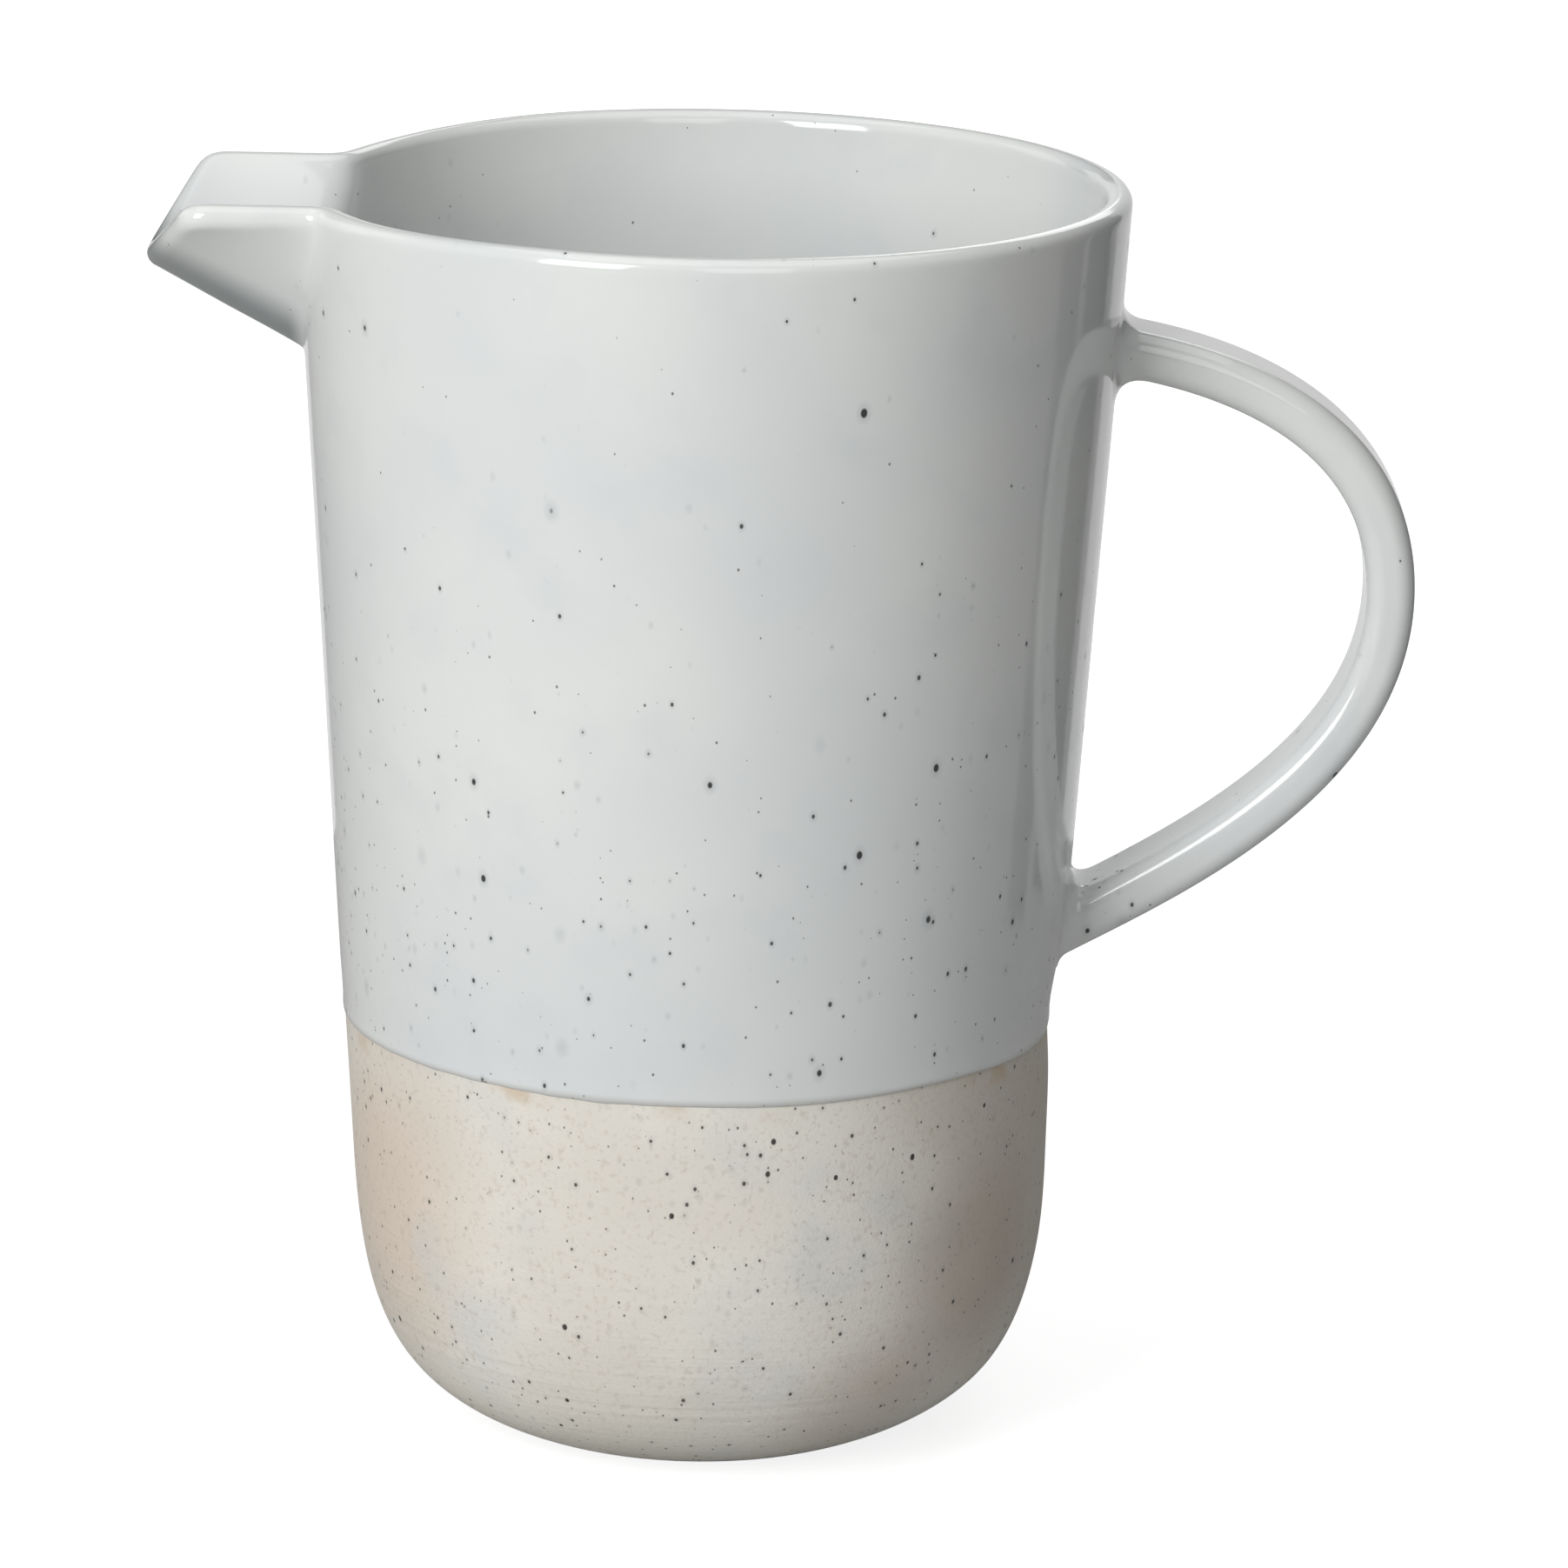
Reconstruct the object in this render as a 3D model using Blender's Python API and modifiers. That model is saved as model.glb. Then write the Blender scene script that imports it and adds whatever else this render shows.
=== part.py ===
"""Stoneware pitcher: a turned clay body, a V spout and a strap handle, luted with slip and coated with glaze.

The foot rests on Z = 0 and the body's axis is the Z axis. The spout points along -X and the handle along +X.
"""

import math

import bmesh
import bpy
from mathutils import Vector

# Body, bare clay (metres)
BODY_HEIGHT = 0.19145
RIM_RADIUS = 0.0618
WALL_LEAN = 0.063
RIM_WALL = 0.0026
BASE_WALL = 0.0040
FLOOR_THICKNESS = 0.0060
FOOT_RADIUS = 0.0286
BASE_HEIGHT = 0.042
BASE_RISE = math.radians(18.2)
BASE_PULL_AT_FOOT = 0.0199
BASE_PULL_AT_WALL = 0.0249
INSIDE_FLOOR_RADIUS = 0.022

# Spout, bare clay
SPOUT_HALF_WIDTH = 0.0215
SPOUT_WALL = 0.0026
SPOUT_DROP = 0.00095
SPOUT_REACH = 0.0139
SPOUT_ROOT_DEPTH = 0.0235
SPOUT_KEEL_SLOPE = math.radians(28.8)
SPOUT_KEEL_RADIUS = 0.0030
SPOUT_FRONT_RAKE = math.radians(34.4)
SPOUT_EDGE_SOFTENING = 0.0006

# Handle, bare clay
HANDLE_WIDTH = 0.01265
HANDLE_THICKNESS = 0.0060
HANDLE_EDGE_RADIUS = 0.0014
HANDLE_TOP_DROP = 0.02325
HANDLE_SPAN = 0.0891
HANDLE_REACH = 0.0411
HANDLE_TOP_TILT = math.radians(-8.1)
HANDLE_BOTTOM_TILT = math.radians(28.8)
HANDLE_ROOT_SWELL = 1.08

# Where the handle bows out farthest, as a share of its span from the top, and how strongly its curves pull,
# as shares of its reach at the ends and of its span at the bow
HANDLE_BOW_SHARE = 0.413
HANDLE_TOP_PULL = 0.414
HANDLE_BOW_PULL_UP = 0.291
HANDLE_BOW_PULL_DOWN = 0.306
HANDLE_BOTTOM_PULL = 0.474

# Slip in the luted joints
SLIP_THICKNESS = 0.0006
SLIP_COLLAR_HEIGHT = 0.0030
SLIP_COLLAR_SPREAD = 0.0024
SLIP_COLLAR_EDGE = 0.0008

# Glaze
GLAZE_COAT = 0.0004
GLAZE_LINE = 0.0640
LINER_DROP = 0.0070

# The space left between touching pieces
JOINT_GAP = 0.0003

# Facets
TURNED_STEPS = 48
BASE_STEPS = 9
LIP_STEPS = 6
ARC_STEPS = 4
LEG_STEPS = 3
SPOUT_STEPS = 5
HANDLE_STEPS = 10

# How far shapes that are cut back run on into the body, and cutters past what they cut
ROOT_OVERRUN = 0.0120
CUTTER_OVERRUN = 0.0200
MERGE_DISTANCE = 0.00001


def srgb(code):
    """Turns a hex colour into Blender's linear values."""
    channels = [int(code[place:place + 2], 16) / 255 for place in (0, 2, 4)]
    linear = [c / 12.92 if c <= 0.04045 else ((c + 0.055) / 1.055) ** 2.4 for c in channels]
    return (*linear, 1.0)


def finish(name, colour, roughness):
    """Makes one plain ceramic material."""
    material = bpy.data.materials.new(name)
    material.use_nodes = True
    shader = material.node_tree.nodes["Principled BSDF"]
    shader.inputs["Base Color"].default_value = srgb(colour)
    shader.inputs["Roughness"].default_value = roughness
    shader.inputs["Metallic"].default_value = 0.0
    material.diffuse_color = srgb(colour)
    return material


def place(obj, collection, material=None):
    """Links an object, and marks it as a guide when it has no material."""
    collection.objects.link(obj)
    if material:
        obj.data.materials.append(material)
    else:
        obj.hide_render = True
        obj.display_type = "WIRE"
    return obj


def cut(obj, cutter, operation="DIFFERENCE"):
    """Adds an exact Boolean modifier."""
    modifier = obj.modifiers.new(cutter.name, "BOOLEAN")
    modifier.solver = "EXACT"
    modifier.operation = operation
    modifier.object = cutter


def turned(name, profile, closed):
    """Turns a profile of (radius, height) points about Z."""
    mesh = bpy.data.meshes.new(name)
    edges = [(i, i + 1) for i in range(len(profile) - 1)]
    if closed:
        edges.append((len(profile) - 1, 0))
    mesh.from_pydata([(radius, 0.0, height) for radius, height in profile], edges, [])
    obj = bpy.data.objects.new(name, mesh)
    screw = obj.modifiers.new("Turn", "SCREW")
    screw.axis = "Z"
    screw.angle = math.tau
    screw.steps = TURNED_STEPS
    screw.render_steps = TURNED_STEPS
    screw.use_merge_vertices = True
    screw.merge_threshold = MERGE_DISTANCE
    screw.use_smooth_shade = True
    return obj


def loft(name, rings):
    """Joins rings of equal point counts into one closed solid, with flat ends.

    The sides are split the same way in every loft, so that two lofts a gap apart stay apart.
    """
    bm = bmesh.new()
    loops = [[bm.verts.new(point) for point in ring] for ring in rings]
    for first, second in zip(loops, loops[1:]):
        for i in range(len(first)):
            j = (i + 1) % len(first)
            bm.faces.new((first[i], first[j], second[j]))
            bm.faces.new((first[i], second[j], second[i]))
    bm.faces.new(loops[0])
    bm.faces.new(loops[-1])
    bmesh.ops.recalc_face_normals(bm, faces=bm.faces)
    mesh = bpy.data.meshes.new(name)
    bm.to_mesh(mesh)
    bm.free()
    return bpy.data.objects.new(name, mesh)


def bezier(start, pull_start, pull_end, end, steps):
    """Points on a cubic curve, from its start to its end."""
    points = []
    for step in range(steps + 1):
        t = step / steps
        weights = ((1 - t) ** 3, 3 * t * (1 - t) ** 2, 3 * t * t * (1 - t), t ** 3)
        corners = (start, pull_start, pull_end, end)
        points.append(sum((Vector(corner) * weight for corner, weight in zip(corners, weights)), Vector((0, 0))))
    return points


def pushed_out(points, distance):
    """Moves a (radius, height) line that runs downwards outwards along its own normals."""
    moved = []
    for i, point in enumerate(points):
        along = points[min(i + 1, len(points) - 1)] - points[max(i - 1, 0)]
        along.normalize()
        moved.append(point + distance * Vector((-along.y, along.x)))
    return moved


# ---------------------------------------------------------------- body

def wall_radius(height):
    """The clay's outer radius on the straight wall."""
    return RIM_RADIUS - WALL_LEAN * (BODY_HEIGHT - height)


def wall_point(height, distance):
    """A point at a height on the straight wall, pushed out by a distance."""
    return Vector((wall_radius(height) + distance * math.hypot(1.0, WALL_LEAN), height))


def outside_line(top, distance=0.0):
    """The outside of the body from a height down to the foot, pushed out by a distance."""
    turn = Vector((wall_radius(BASE_HEIGHT), BASE_HEIGHT))
    down_wall = Vector((-WALL_LEAN, -1)).normalized()
    foot = Vector((FOOT_RADIUS, 0.0))
    up_base = Vector((math.cos(BASE_RISE), math.sin(BASE_RISE)))
    base = bezier(turn, turn + down_wall * BASE_PULL_AT_WALL, foot + up_base * BASE_PULL_AT_FOOT, foot, BASE_STEPS)
    return pushed_out([Vector((wall_radius(top), top))] + base, distance)


def inside_line(top, distance=0.0):
    """The inside of the body from a height down to the floor, moved off the clay by a distance."""
    turn = Vector((wall_radius(BASE_HEIGHT) - BASE_WALL, BASE_HEIGHT))
    rim = Vector((RIM_RADIUS - RIM_WALL, BODY_HEIGHT))
    down_wall = (turn - rim).normalized()
    start = rim + down_wall * (rim.y - top)
    floor = Vector((INSIDE_FLOOR_RADIUS, FLOOR_THICKNESS))
    base_pull = BASE_PULL_AT_WALL * (BASE_HEIGHT - FLOOR_THICKNESS) / BASE_HEIGHT
    base = bezier(turn, turn + down_wall * base_pull, floor + Vector((base_pull, 0)), floor, BASE_STEPS)
    return pushed_out([start] + base, -distance)


def lip(outset):
    """The rounded lip from its inner side over to its outer side, pushed out by a distance."""
    radius = RIM_WALL / 2
    centre = Vector((RIM_RADIUS - radius, BODY_HEIGHT - radius))
    angles = [math.pi * step / LIP_STEPS for step in range(LIP_STEPS + 1)]
    return [centre + (radius + outset) * Vector((-math.cos(a), math.sin(a))) for a in angles]


def make_body(parts, material, channel):
    """The turned clay body, with the spout's channel cut through its wall."""
    lip_foot = BODY_HEIGHT - RIM_WALL / 2
    inside = inside_line(lip_foot)[1:]
    outside = outside_line(lip_foot)[1:]
    floor_centre = Vector((0.0, FLOOR_THICKNESS))
    foot_centre = Vector((0.0, 0.0))
    profile = [floor_centre] + inside[::-1] + lip(0.0) + outside + [foot_centre]
    body = place(turned("body", profile, closed=False), parts, material)
    cut(body, channel)


def wall_cutter(name, distance, cutters):
    """A solid with the shape of the body pushed out by a distance, which runs on above the rim."""
    line = outside_line(BODY_HEIGHT + CUTTER_OVERRUN, distance)
    profile = [Vector((0.0, line[0].y))] + line + [Vector((0.0, line[-1].y))]
    return place(turned(name, profile, closed=False), cutters)


# ---------------------------------------------------------------- spout

SPOUT_TOP = BODY_HEIGHT - SPOUT_DROP
SPOUT_CORNER = RIM_RADIUS + SPOUT_REACH
SPOUT_ROOT = RIM_RADIUS - ROOT_OVERRUN


def keel_depth(distance_out):
    """How deep the keel lies under the spout's top edge, at a distance from the body's axis."""
    return SPOUT_ROOT_DEPTH - (distance_out - RIM_RADIUS) * math.tan(SPOUT_KEEL_SLOPE)


def front_depth():
    """The length of the raked front from the top edge to the keel."""
    rise = math.tan(SPOUT_KEEL_SLOPE) * math.sin(SPOUT_FRONT_RAKE)
    return keel_depth(SPOUT_CORNER) / (math.cos(SPOUT_FRONT_RAKE) + rise)


class VSection:
    """The middle line of a V wall with a rounded keel, in (sideways, depth) coordinates."""

    def __init__(self, depth):
        self.cap = Vector((SPOUT_HALF_WIDTH, SPOUT_WALL / 2))
        self.centre = Vector((0.0, depth - SPOUT_WALL / 2 - SPOUT_KEEL_RADIUS))
        reach = self.cap - self.centre
        lean = math.atan2(reach.x, -reach.y) - math.asin(SPOUT_KEEL_RADIUS / reach.length)
        self.up = Vector((math.sin(lean), -math.cos(lean)))
        self.out = Vector((math.cos(lean), math.sin(lean)))
        self.sweep = math.pi / 2 - lean

    def line(self, distance):
        """The V from its right leg to its left leg, pushed out by a distance, without its ends."""
        radius = SPOUT_KEEL_RADIUS + distance
        turns = [self.sweep * (1 - 2 * step / ARC_STEPS) for step in range(ARC_STEPS + 1)]
        keel = [self.centre + radius * Vector((math.sin(turn), math.cos(turn))) for turn in turns]
        leg_end = self.cap + self.out * distance
        leg = [leg_end.lerp(keel[0], step / LEG_STEPS) for step in range(1, LEG_STEPS)]
        return leg + keel + [Vector((-point.x, point.y)) for point in leg[::-1]]

    def leg_end(self, half_wall):
        """The round end of the right leg, from its inner to its outer side."""
        angles = [math.pi * (1 - step / ARC_STEPS) for step in range(ARC_STEPS + 1)]
        return [self.cap + half_wall * (self.out * math.cos(a) + self.up * math.sin(a)) for a in angles]

    def wall(self, half_wall):
        """The closed outline of the V wall."""
        right = self.leg_end(half_wall)
        left = [Vector((-point.x, point.y)) for point in right[::-1]]
        return right + self.line(half_wall) + left + self.line(-half_wall)[::-1]

    def hollow(self, distance):
        """The closed outline of all that lies within the V, up to well above the spout."""
        leg = self.cap + self.out * distance + self.up * (CUTTER_OVERRUN / -self.up.y)
        return [leg] + self.line(distance) + [Vector((-leg.x, leg.y))]


def at_root(outline, distance_out):
    """Places a section upright at a distance from the body's axis."""
    return [(-distance_out, point.x, SPOUT_TOP - point.y) for point in outline]


def at_front(outline, advance):
    """Places a section in the spout's raked front, moved out along the keel."""
    across, down = math.sin(SPOUT_FRONT_RAKE), math.cos(SPOUT_FRONT_RAKE)
    out, rise = advance * math.cos(SPOUT_KEEL_SLOPE), advance * math.sin(SPOUT_KEEL_SLOPE)
    return [(-SPOUT_CORNER - out - point.y * across, point.x, SPOUT_TOP + rise - point.y * down) for point in outline]


def stations(root_ring, front_ring):
    """Rings in even steps from the root to the front, because the V opens out on its way."""
    rings = []
    for step in range(SPOUT_STEPS + 1):
        share = step / SPOUT_STEPS
        rings.append([Vector(a).lerp(Vector(b), share) for a, b in zip(root_ring, front_ring)])
    return rings


def trough(name, outset):
    """The spout's V wall, thicker all round by an outset, from inside the body to its soft front edge."""
    half_wall = SPOUT_WALL / 2 + outset
    root = VSection(keel_depth(SPOUT_ROOT))
    front = VSection(front_depth())
    near_front = at_front(front.wall(half_wall), outset - SPOUT_EDGE_SOFTENING)
    rings = stations(at_root(root.wall(half_wall), SPOUT_ROOT), near_front)
    rings.append(at_front(front.wall(half_wall - SPOUT_EDGE_SOFTENING), outset))
    return loft(name, rings)


def v_cutter(name, distance, cutters):
    """All that lies within the V line pushed out by a distance, from inside the body to the spout's front."""
    root = VSection(keel_depth(SPOUT_ROOT))
    front = VSection(front_depth())
    root_ring = at_root(root.hollow(distance), SPOUT_ROOT)
    rings = stations(root_ring, at_front(front.hollow(distance), 0.0))
    return place(loft(name, rings), cutters)


def make_spout(parts, cutters, materials):
    """The clay trough, the band of slip behind it and its glaze."""
    band_start = JOINT_GAP
    band_end = band_start + SLIP_THICKNESS
    near_wall = wall_cutter("wall_under_slip", band_start, cutters)
    slip_front = wall_cutter("slip_front", band_end, cutters)
    spout_back = wall_cutter("spout_back", band_end + JOINT_GAP, cutters)

    spout = place(trough("spout", 0.0), parts, materials["clay"])
    cut(spout, spout_back)

    slip = place(trough("spout_slip", 0.0), parts, materials["slip"])
    cut(slip, near_wall)
    cut(slip, slip_front, "INTERSECT")

    glaze = place(trough("spout_glaze", JOINT_GAP + GLAZE_COAT), parts, materials["glaze"])
    cut(glaze, place(trough("spout_under_glaze", JOINT_GAP), cutters))
    cut(glaze, near_wall)


# ---------------------------------------------------------------- handle

HANDLE_TOP = BODY_HEIGHT - HANDLE_TOP_DROP
HANDLE_BOTTOM = HANDLE_TOP - HANDLE_SPAN


def direction(tilt):
    """A direction in the handle's plane, tilted up from +X."""
    return Vector((math.cos(tilt), 0.0, math.sin(tilt)))


def handle_ends():
    """The place on the wall and the outward direction of each end of the strap."""
    return {
        "top": (Vector((wall_radius(HANDLE_TOP), 0.0, HANDLE_TOP)), direction(HANDLE_TOP_TILT)),
        "bottom": (Vector((wall_radius(HANDLE_BOTTOM), 0.0, HANDLE_BOTTOM)), direction(HANDLE_BOTTOM_TILT)),
    }


def strap_section(outset):
    """A rectangle with round corners, across the strap, as (sideways, through) points."""
    radius = HANDLE_EDGE_RADIUS + outset
    across = HANDLE_WIDTH / 2 + outset - radius
    through = HANDLE_THICKNESS / 2 + outset - radius
    corners = ((across, through), (-across, through), (-across, -through), (across, -through))
    points = []
    for quarter, (side, depth) in enumerate(corners):
        for step in range(ARC_STEPS):
            angle = math.pi / 2 * (quarter + step / (ARC_STEPS - 1))
            points.append(Vector((side + radius * math.cos(angle), depth + radius * math.sin(angle))))
    return points


def section_curve(name, outset, cutters):
    """The strap's section as a closed flat curve, for the path to carry."""
    curve = bpy.data.curves.new(name, "CURVE")
    curve.dimensions = "2D"
    curve.fill_mode = "NONE"
    points = strap_section(outset)
    spline = curve.splines.new("POLY")
    spline.points.add(len(points) - 1)
    for point, place_of in zip(spline.points, points):
        point.co = (place_of.x, place_of.y, 0.0, 1.0)
    spline.use_cyclic_u = True
    return place(bpy.data.objects.new(name, curve), cutters)


def strap(name, outset, cutters):
    """The bowed strap as a mesh, thicker all round by an outset, with its ends inside the body."""
    ends = handle_ends()
    top, top_out = ends["top"]
    bottom, bottom_out = ends["bottom"]
    bow = Vector((RIM_RADIUS + HANDLE_REACH, 0.0, HANDLE_TOP - HANDLE_BOW_SHARE * HANDLE_SPAN))
    up = Vector((0.0, 0.0, HANDLE_SPAN))
    knots = [
        (top - top_out * ROOT_OVERRUN, -top_out * ROOT_OVERRUN / 3, top_out * ROOT_OVERRUN / 3, 1.0),
        (top, -top_out * ROOT_OVERRUN / 3, top_out * HANDLE_TOP_PULL * HANDLE_REACH, 1.0),
        (bow, up * HANDLE_BOW_PULL_UP, -up * HANDLE_BOW_PULL_DOWN, 1.0),
        (bottom, bottom_out * HANDLE_BOTTOM_PULL * HANDLE_REACH, -bottom_out * ROOT_OVERRUN / 3,
         HANDLE_ROOT_SWELL),
        (bottom - bottom_out * ROOT_OVERRUN, bottom_out * ROOT_OVERRUN / 3, -bottom_out * ROOT_OVERRUN / 3,
         HANDLE_ROOT_SWELL),
    ]
    curve = bpy.data.curves.new(name + "_path", "CURVE")
    curve.dimensions = "3D"
    curve.resolution_u = HANDLE_STEPS
    curve.bevel_mode = "OBJECT"
    curve.bevel_object = section_curve(name + "_section", outset, cutters)
    curve.use_fill_caps = True
    spline = curve.splines.new("BEZIER")
    spline.bezier_points.add(len(knots) - 1)
    for point, (spot, before, after, swell) in zip(spline.bezier_points, knots):
        point.handle_left_type = "FREE"
        point.handle_right_type = "FREE"
        point.co = spot
        point.handle_left = spot + before
        point.handle_right = spot + after
        point.radius = swell
    path = bpy.data.objects.new(name + "_path", curve)
    bpy.context.scene.collection.objects.link(path)
    bpy.context.view_layer.update()
    evaluated = path.evaluated_get(bpy.context.evaluated_depsgraph_get())
    mesh = bpy.data.meshes.new_from_object(evaluated)
    bpy.data.objects.remove(path)

    bm = bmesh.new()
    bm.from_mesh(mesh)
    bmesh.ops.remove_doubles(bm, verts=bm.verts, dist=MERGE_DISTANCE)
    bmesh.ops.recalc_face_normals(bm, faces=bm.faces)
    bm.to_mesh(mesh)
    bm.free()
    mesh.name = name
    mesh.shade_smooth()
    return bpy.data.objects.new(name, mesh)


def sleeve_block(name, end, levels):
    """A solid round one end of the strap, from (distance along the strap, spread past its section) levels."""
    spot, out = handle_ends()[end]
    swell = HANDLE_ROOT_SWELL if end == "bottom" else 1.0
    through = Vector((-out.z, 0.0, out.x))
    side = Vector((0.0, 1.0, 0.0))
    rings = []
    for along, spread in levels:
        section = [point * swell for point in strap_section(spread)]
        middle = spot + out * along
        rings.append([middle + side * point.x + through * point.y for point in section])
    return loft(name, rings)


def collar(name, end, outset):
    """The wiped fillet of slip round one end of the strap: wide at the wall, narrow along the strap."""
    wide, narrow = SLIP_COLLAR_SPREAD + outset, SLIP_COLLAR_EDGE + outset
    levels = ((-ROOT_OVERRUN / 2, wide), (outset, wide), (SLIP_COLLAR_HEIGHT / 2 + outset, wide / 2 + outset / 2),
              (SLIP_COLLAR_HEIGHT + outset, narrow))
    return sleeve_block(name, end, levels)


def make_handle(parts, cutters, materials):
    """The clay strap, its two slip joints and its sleeve of glaze."""
    strap_ends = wall_cutter("strap_ends", SLIP_THICKNESS + 2 * JOINT_GAP, cutters)
    under_slip = wall_cutter("wall_under_collars", JOINT_GAP, cutters)
    clear_strap = place(strap("strap_with_gap", JOINT_GAP, cutters), cutters)
    cut(clear_strap, wall_cutter("strap_gap_ends", SLIP_THICKNESS + JOINT_GAP, cutters))

    handle = place(strap("handle", 0.0, cutters), parts, materials["clay"])
    cut(handle, strap_ends)

    for end in ("top", "bottom"):
        slip = place(collar("handle_" + end + "_slip", end, 0.0), parts, materials["slip"])
        cut(slip, under_slip)
        cut(slip, clear_strap)

    sleeve = place(strap("handle_glaze", JOINT_GAP + GLAZE_COAT, cutters), parts, materials["glaze"])
    cut(sleeve, place(strap("strap_under_glaze", JOINT_GAP, cutters), cutters))
    for end in ("top", "bottom"):
        levels = ((-ROOT_OVERRUN, SLIP_COLLAR_SPREAD), (SLIP_COLLAR_HEIGHT + JOINT_GAP, SLIP_COLLAR_SPREAD))
        cut(sleeve, place(sleeve_block("sleeve_end_" + end, end, levels), cutters))


# ---------------------------------------------------------------- glaze on the body

def make_body_glaze(parts, cutters, material, channel):
    """The dipped outer coat over wall and lip, and the poured coat that lines the inside."""
    near, far = JOINT_GAP, JOINT_GAP + GLAZE_COAT
    inner_end = BODY_HEIGHT - LINER_DROP + JOINT_GAP
    line_far = [wall_point(GLAZE_LINE, far), wall_point(GLAZE_LINE, near)]
    inside_far = inside_line(inner_end, far)[0]
    inside_near = inside_line(inner_end, near)[0]
    profile = [inside_near, inside_far] + lip(far) + line_far + lip(near)[::-1]
    outer = place(turned("outer_glaze", profile, closed=True), parts, material)
    spout_slot = v_cutter("slot_for_spout_glaze", SPOUT_WALL / 2 + far + JOINT_GAP, cutters)
    cut(outer, spout_slot)
    for end in ("top", "bottom"):
        cut(outer, place(collar("window_at_" + end, end, JOINT_GAP), cutters))

    liner_end = BODY_HEIGHT - LINER_DROP
    lining = inside_line(liner_end, far)
    backing = inside_line(liner_end, near)
    centre_far = Vector((0.0, lining[-1].y))
    centre_near = Vector((0.0, backing[-1].y))
    profile = [centre_far] + lining[::-1] + backing + [centre_near]
    liner = place(turned("liner_glaze", profile, closed=False), parts, material)
    cut(liner, channel)


def main():
    for obj in list(bpy.data.objects):
        bpy.data.objects.remove(obj)
    parts = bpy.data.collections.new("pitcher")
    cutters = bpy.data.collections.new("pitcher_cutters")
    for collection in (parts, cutters):
        bpy.context.scene.collection.children.link(collection)
    materials = {
        "clay": finish("bare speckled stoneware", "D3CABC", 0.85),
        "slip": finish("luting slip", "CBBFAE", 0.9),
        "glaze": finish("glossy grey-white glaze", "DCDFDE", 0.12),
    }
    channel = v_cutter("spout_channel", -SPOUT_WALL / 2, cutters)
    make_body(parts, materials["clay"], channel)
    make_spout(parts, cutters, materials)
    make_handle(parts, cutters, materials)
    make_body_glaze(parts, cutters, materials["glaze"], channel)


main()
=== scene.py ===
# %% [markdown]
# # A stoneware pitcher
#
# The pitcher is a turned cylinder of speckled clay with a rounded bottom. The top two thirds are dipped in a
# glossy grey-white glaze and the bottom is left bare. A folded V spout is luted to the front of the rim and a
# bowed strap handle to the back. This file makes three surfaces: the bare foot, the glazed vessel with its
# spout, and the glazed handle. Everything is in metres, with Z up, the spout along -X and the handle along +X.

import math

import bmesh
import bpy
import numpy as np
from mathutils import Matrix, Vector, noise


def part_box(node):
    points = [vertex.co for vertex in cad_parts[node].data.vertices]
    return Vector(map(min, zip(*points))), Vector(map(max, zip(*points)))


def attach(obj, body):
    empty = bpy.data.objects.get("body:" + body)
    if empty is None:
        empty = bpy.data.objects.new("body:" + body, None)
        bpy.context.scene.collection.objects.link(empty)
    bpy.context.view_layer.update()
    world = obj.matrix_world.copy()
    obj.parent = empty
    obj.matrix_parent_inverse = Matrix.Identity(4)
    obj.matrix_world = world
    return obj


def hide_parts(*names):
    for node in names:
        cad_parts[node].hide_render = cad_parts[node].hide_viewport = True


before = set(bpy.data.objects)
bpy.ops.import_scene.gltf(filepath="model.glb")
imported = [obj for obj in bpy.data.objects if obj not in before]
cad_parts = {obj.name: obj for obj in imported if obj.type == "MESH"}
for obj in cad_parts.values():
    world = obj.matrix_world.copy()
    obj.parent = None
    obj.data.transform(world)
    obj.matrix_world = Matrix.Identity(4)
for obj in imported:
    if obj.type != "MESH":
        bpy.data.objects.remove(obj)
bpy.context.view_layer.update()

# %% [markdown]
# ## Sizes
#
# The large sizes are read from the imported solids: the glaze coat gives the height, the rim and the line where
# the glaze ends, the clay gives the foot, and the coats on the spout and the handle give how far they reach.
# Only the sizes that no box can show, such as the lean of the wall or the pull of a curve, are named here.

# %% Sizes of the vessel
MM = 0.001
FLAT = np.array((1.0, 1.0, 0.0))
UP = np.array((0.0, 0.0, 1.0))
glaze_low, glaze_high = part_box("outer_glaze")
HEIGHT = glaze_high.z
RIM_RADIUS = glaze_high.y
GLAZE_LINE = glaze_low.z
COAT = 0.4 * MM
FLOOR_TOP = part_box("liner_glaze")[0].z + COAT
clay = [vertex.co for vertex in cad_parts["body"].data.vertices]
FOOT_RADIUS = max(math.hypot(point.x, point.y) for point in clay if point.z < 0.1 * MM)

WALL_LEAN = 0.063
LIP_HALF = 2.0 * MM
BASE_HEIGHT = 42.0 * MM
BASE_WALL = 5.4 * MM
BASE_RISE = math.radians(18.2)
BASE_PULL_AT_FOOT = 19.9 * MM
BASE_PULL_AT_WALL = 24.9 * MM
INSIDE_FLOOR_RADIUS = 22.0 * MM
LIP_CENTRE = HEIGHT - LIP_HALF
print("height", round(1000 * HEIGHT, 2), "rim radius", round(1000 * RIM_RADIUS, 2), "glaze line",
      round(1000 * GLAZE_LINE, 2), "foot radius", round(1000 * FOOT_RADIUS, 2), "mm")

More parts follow.
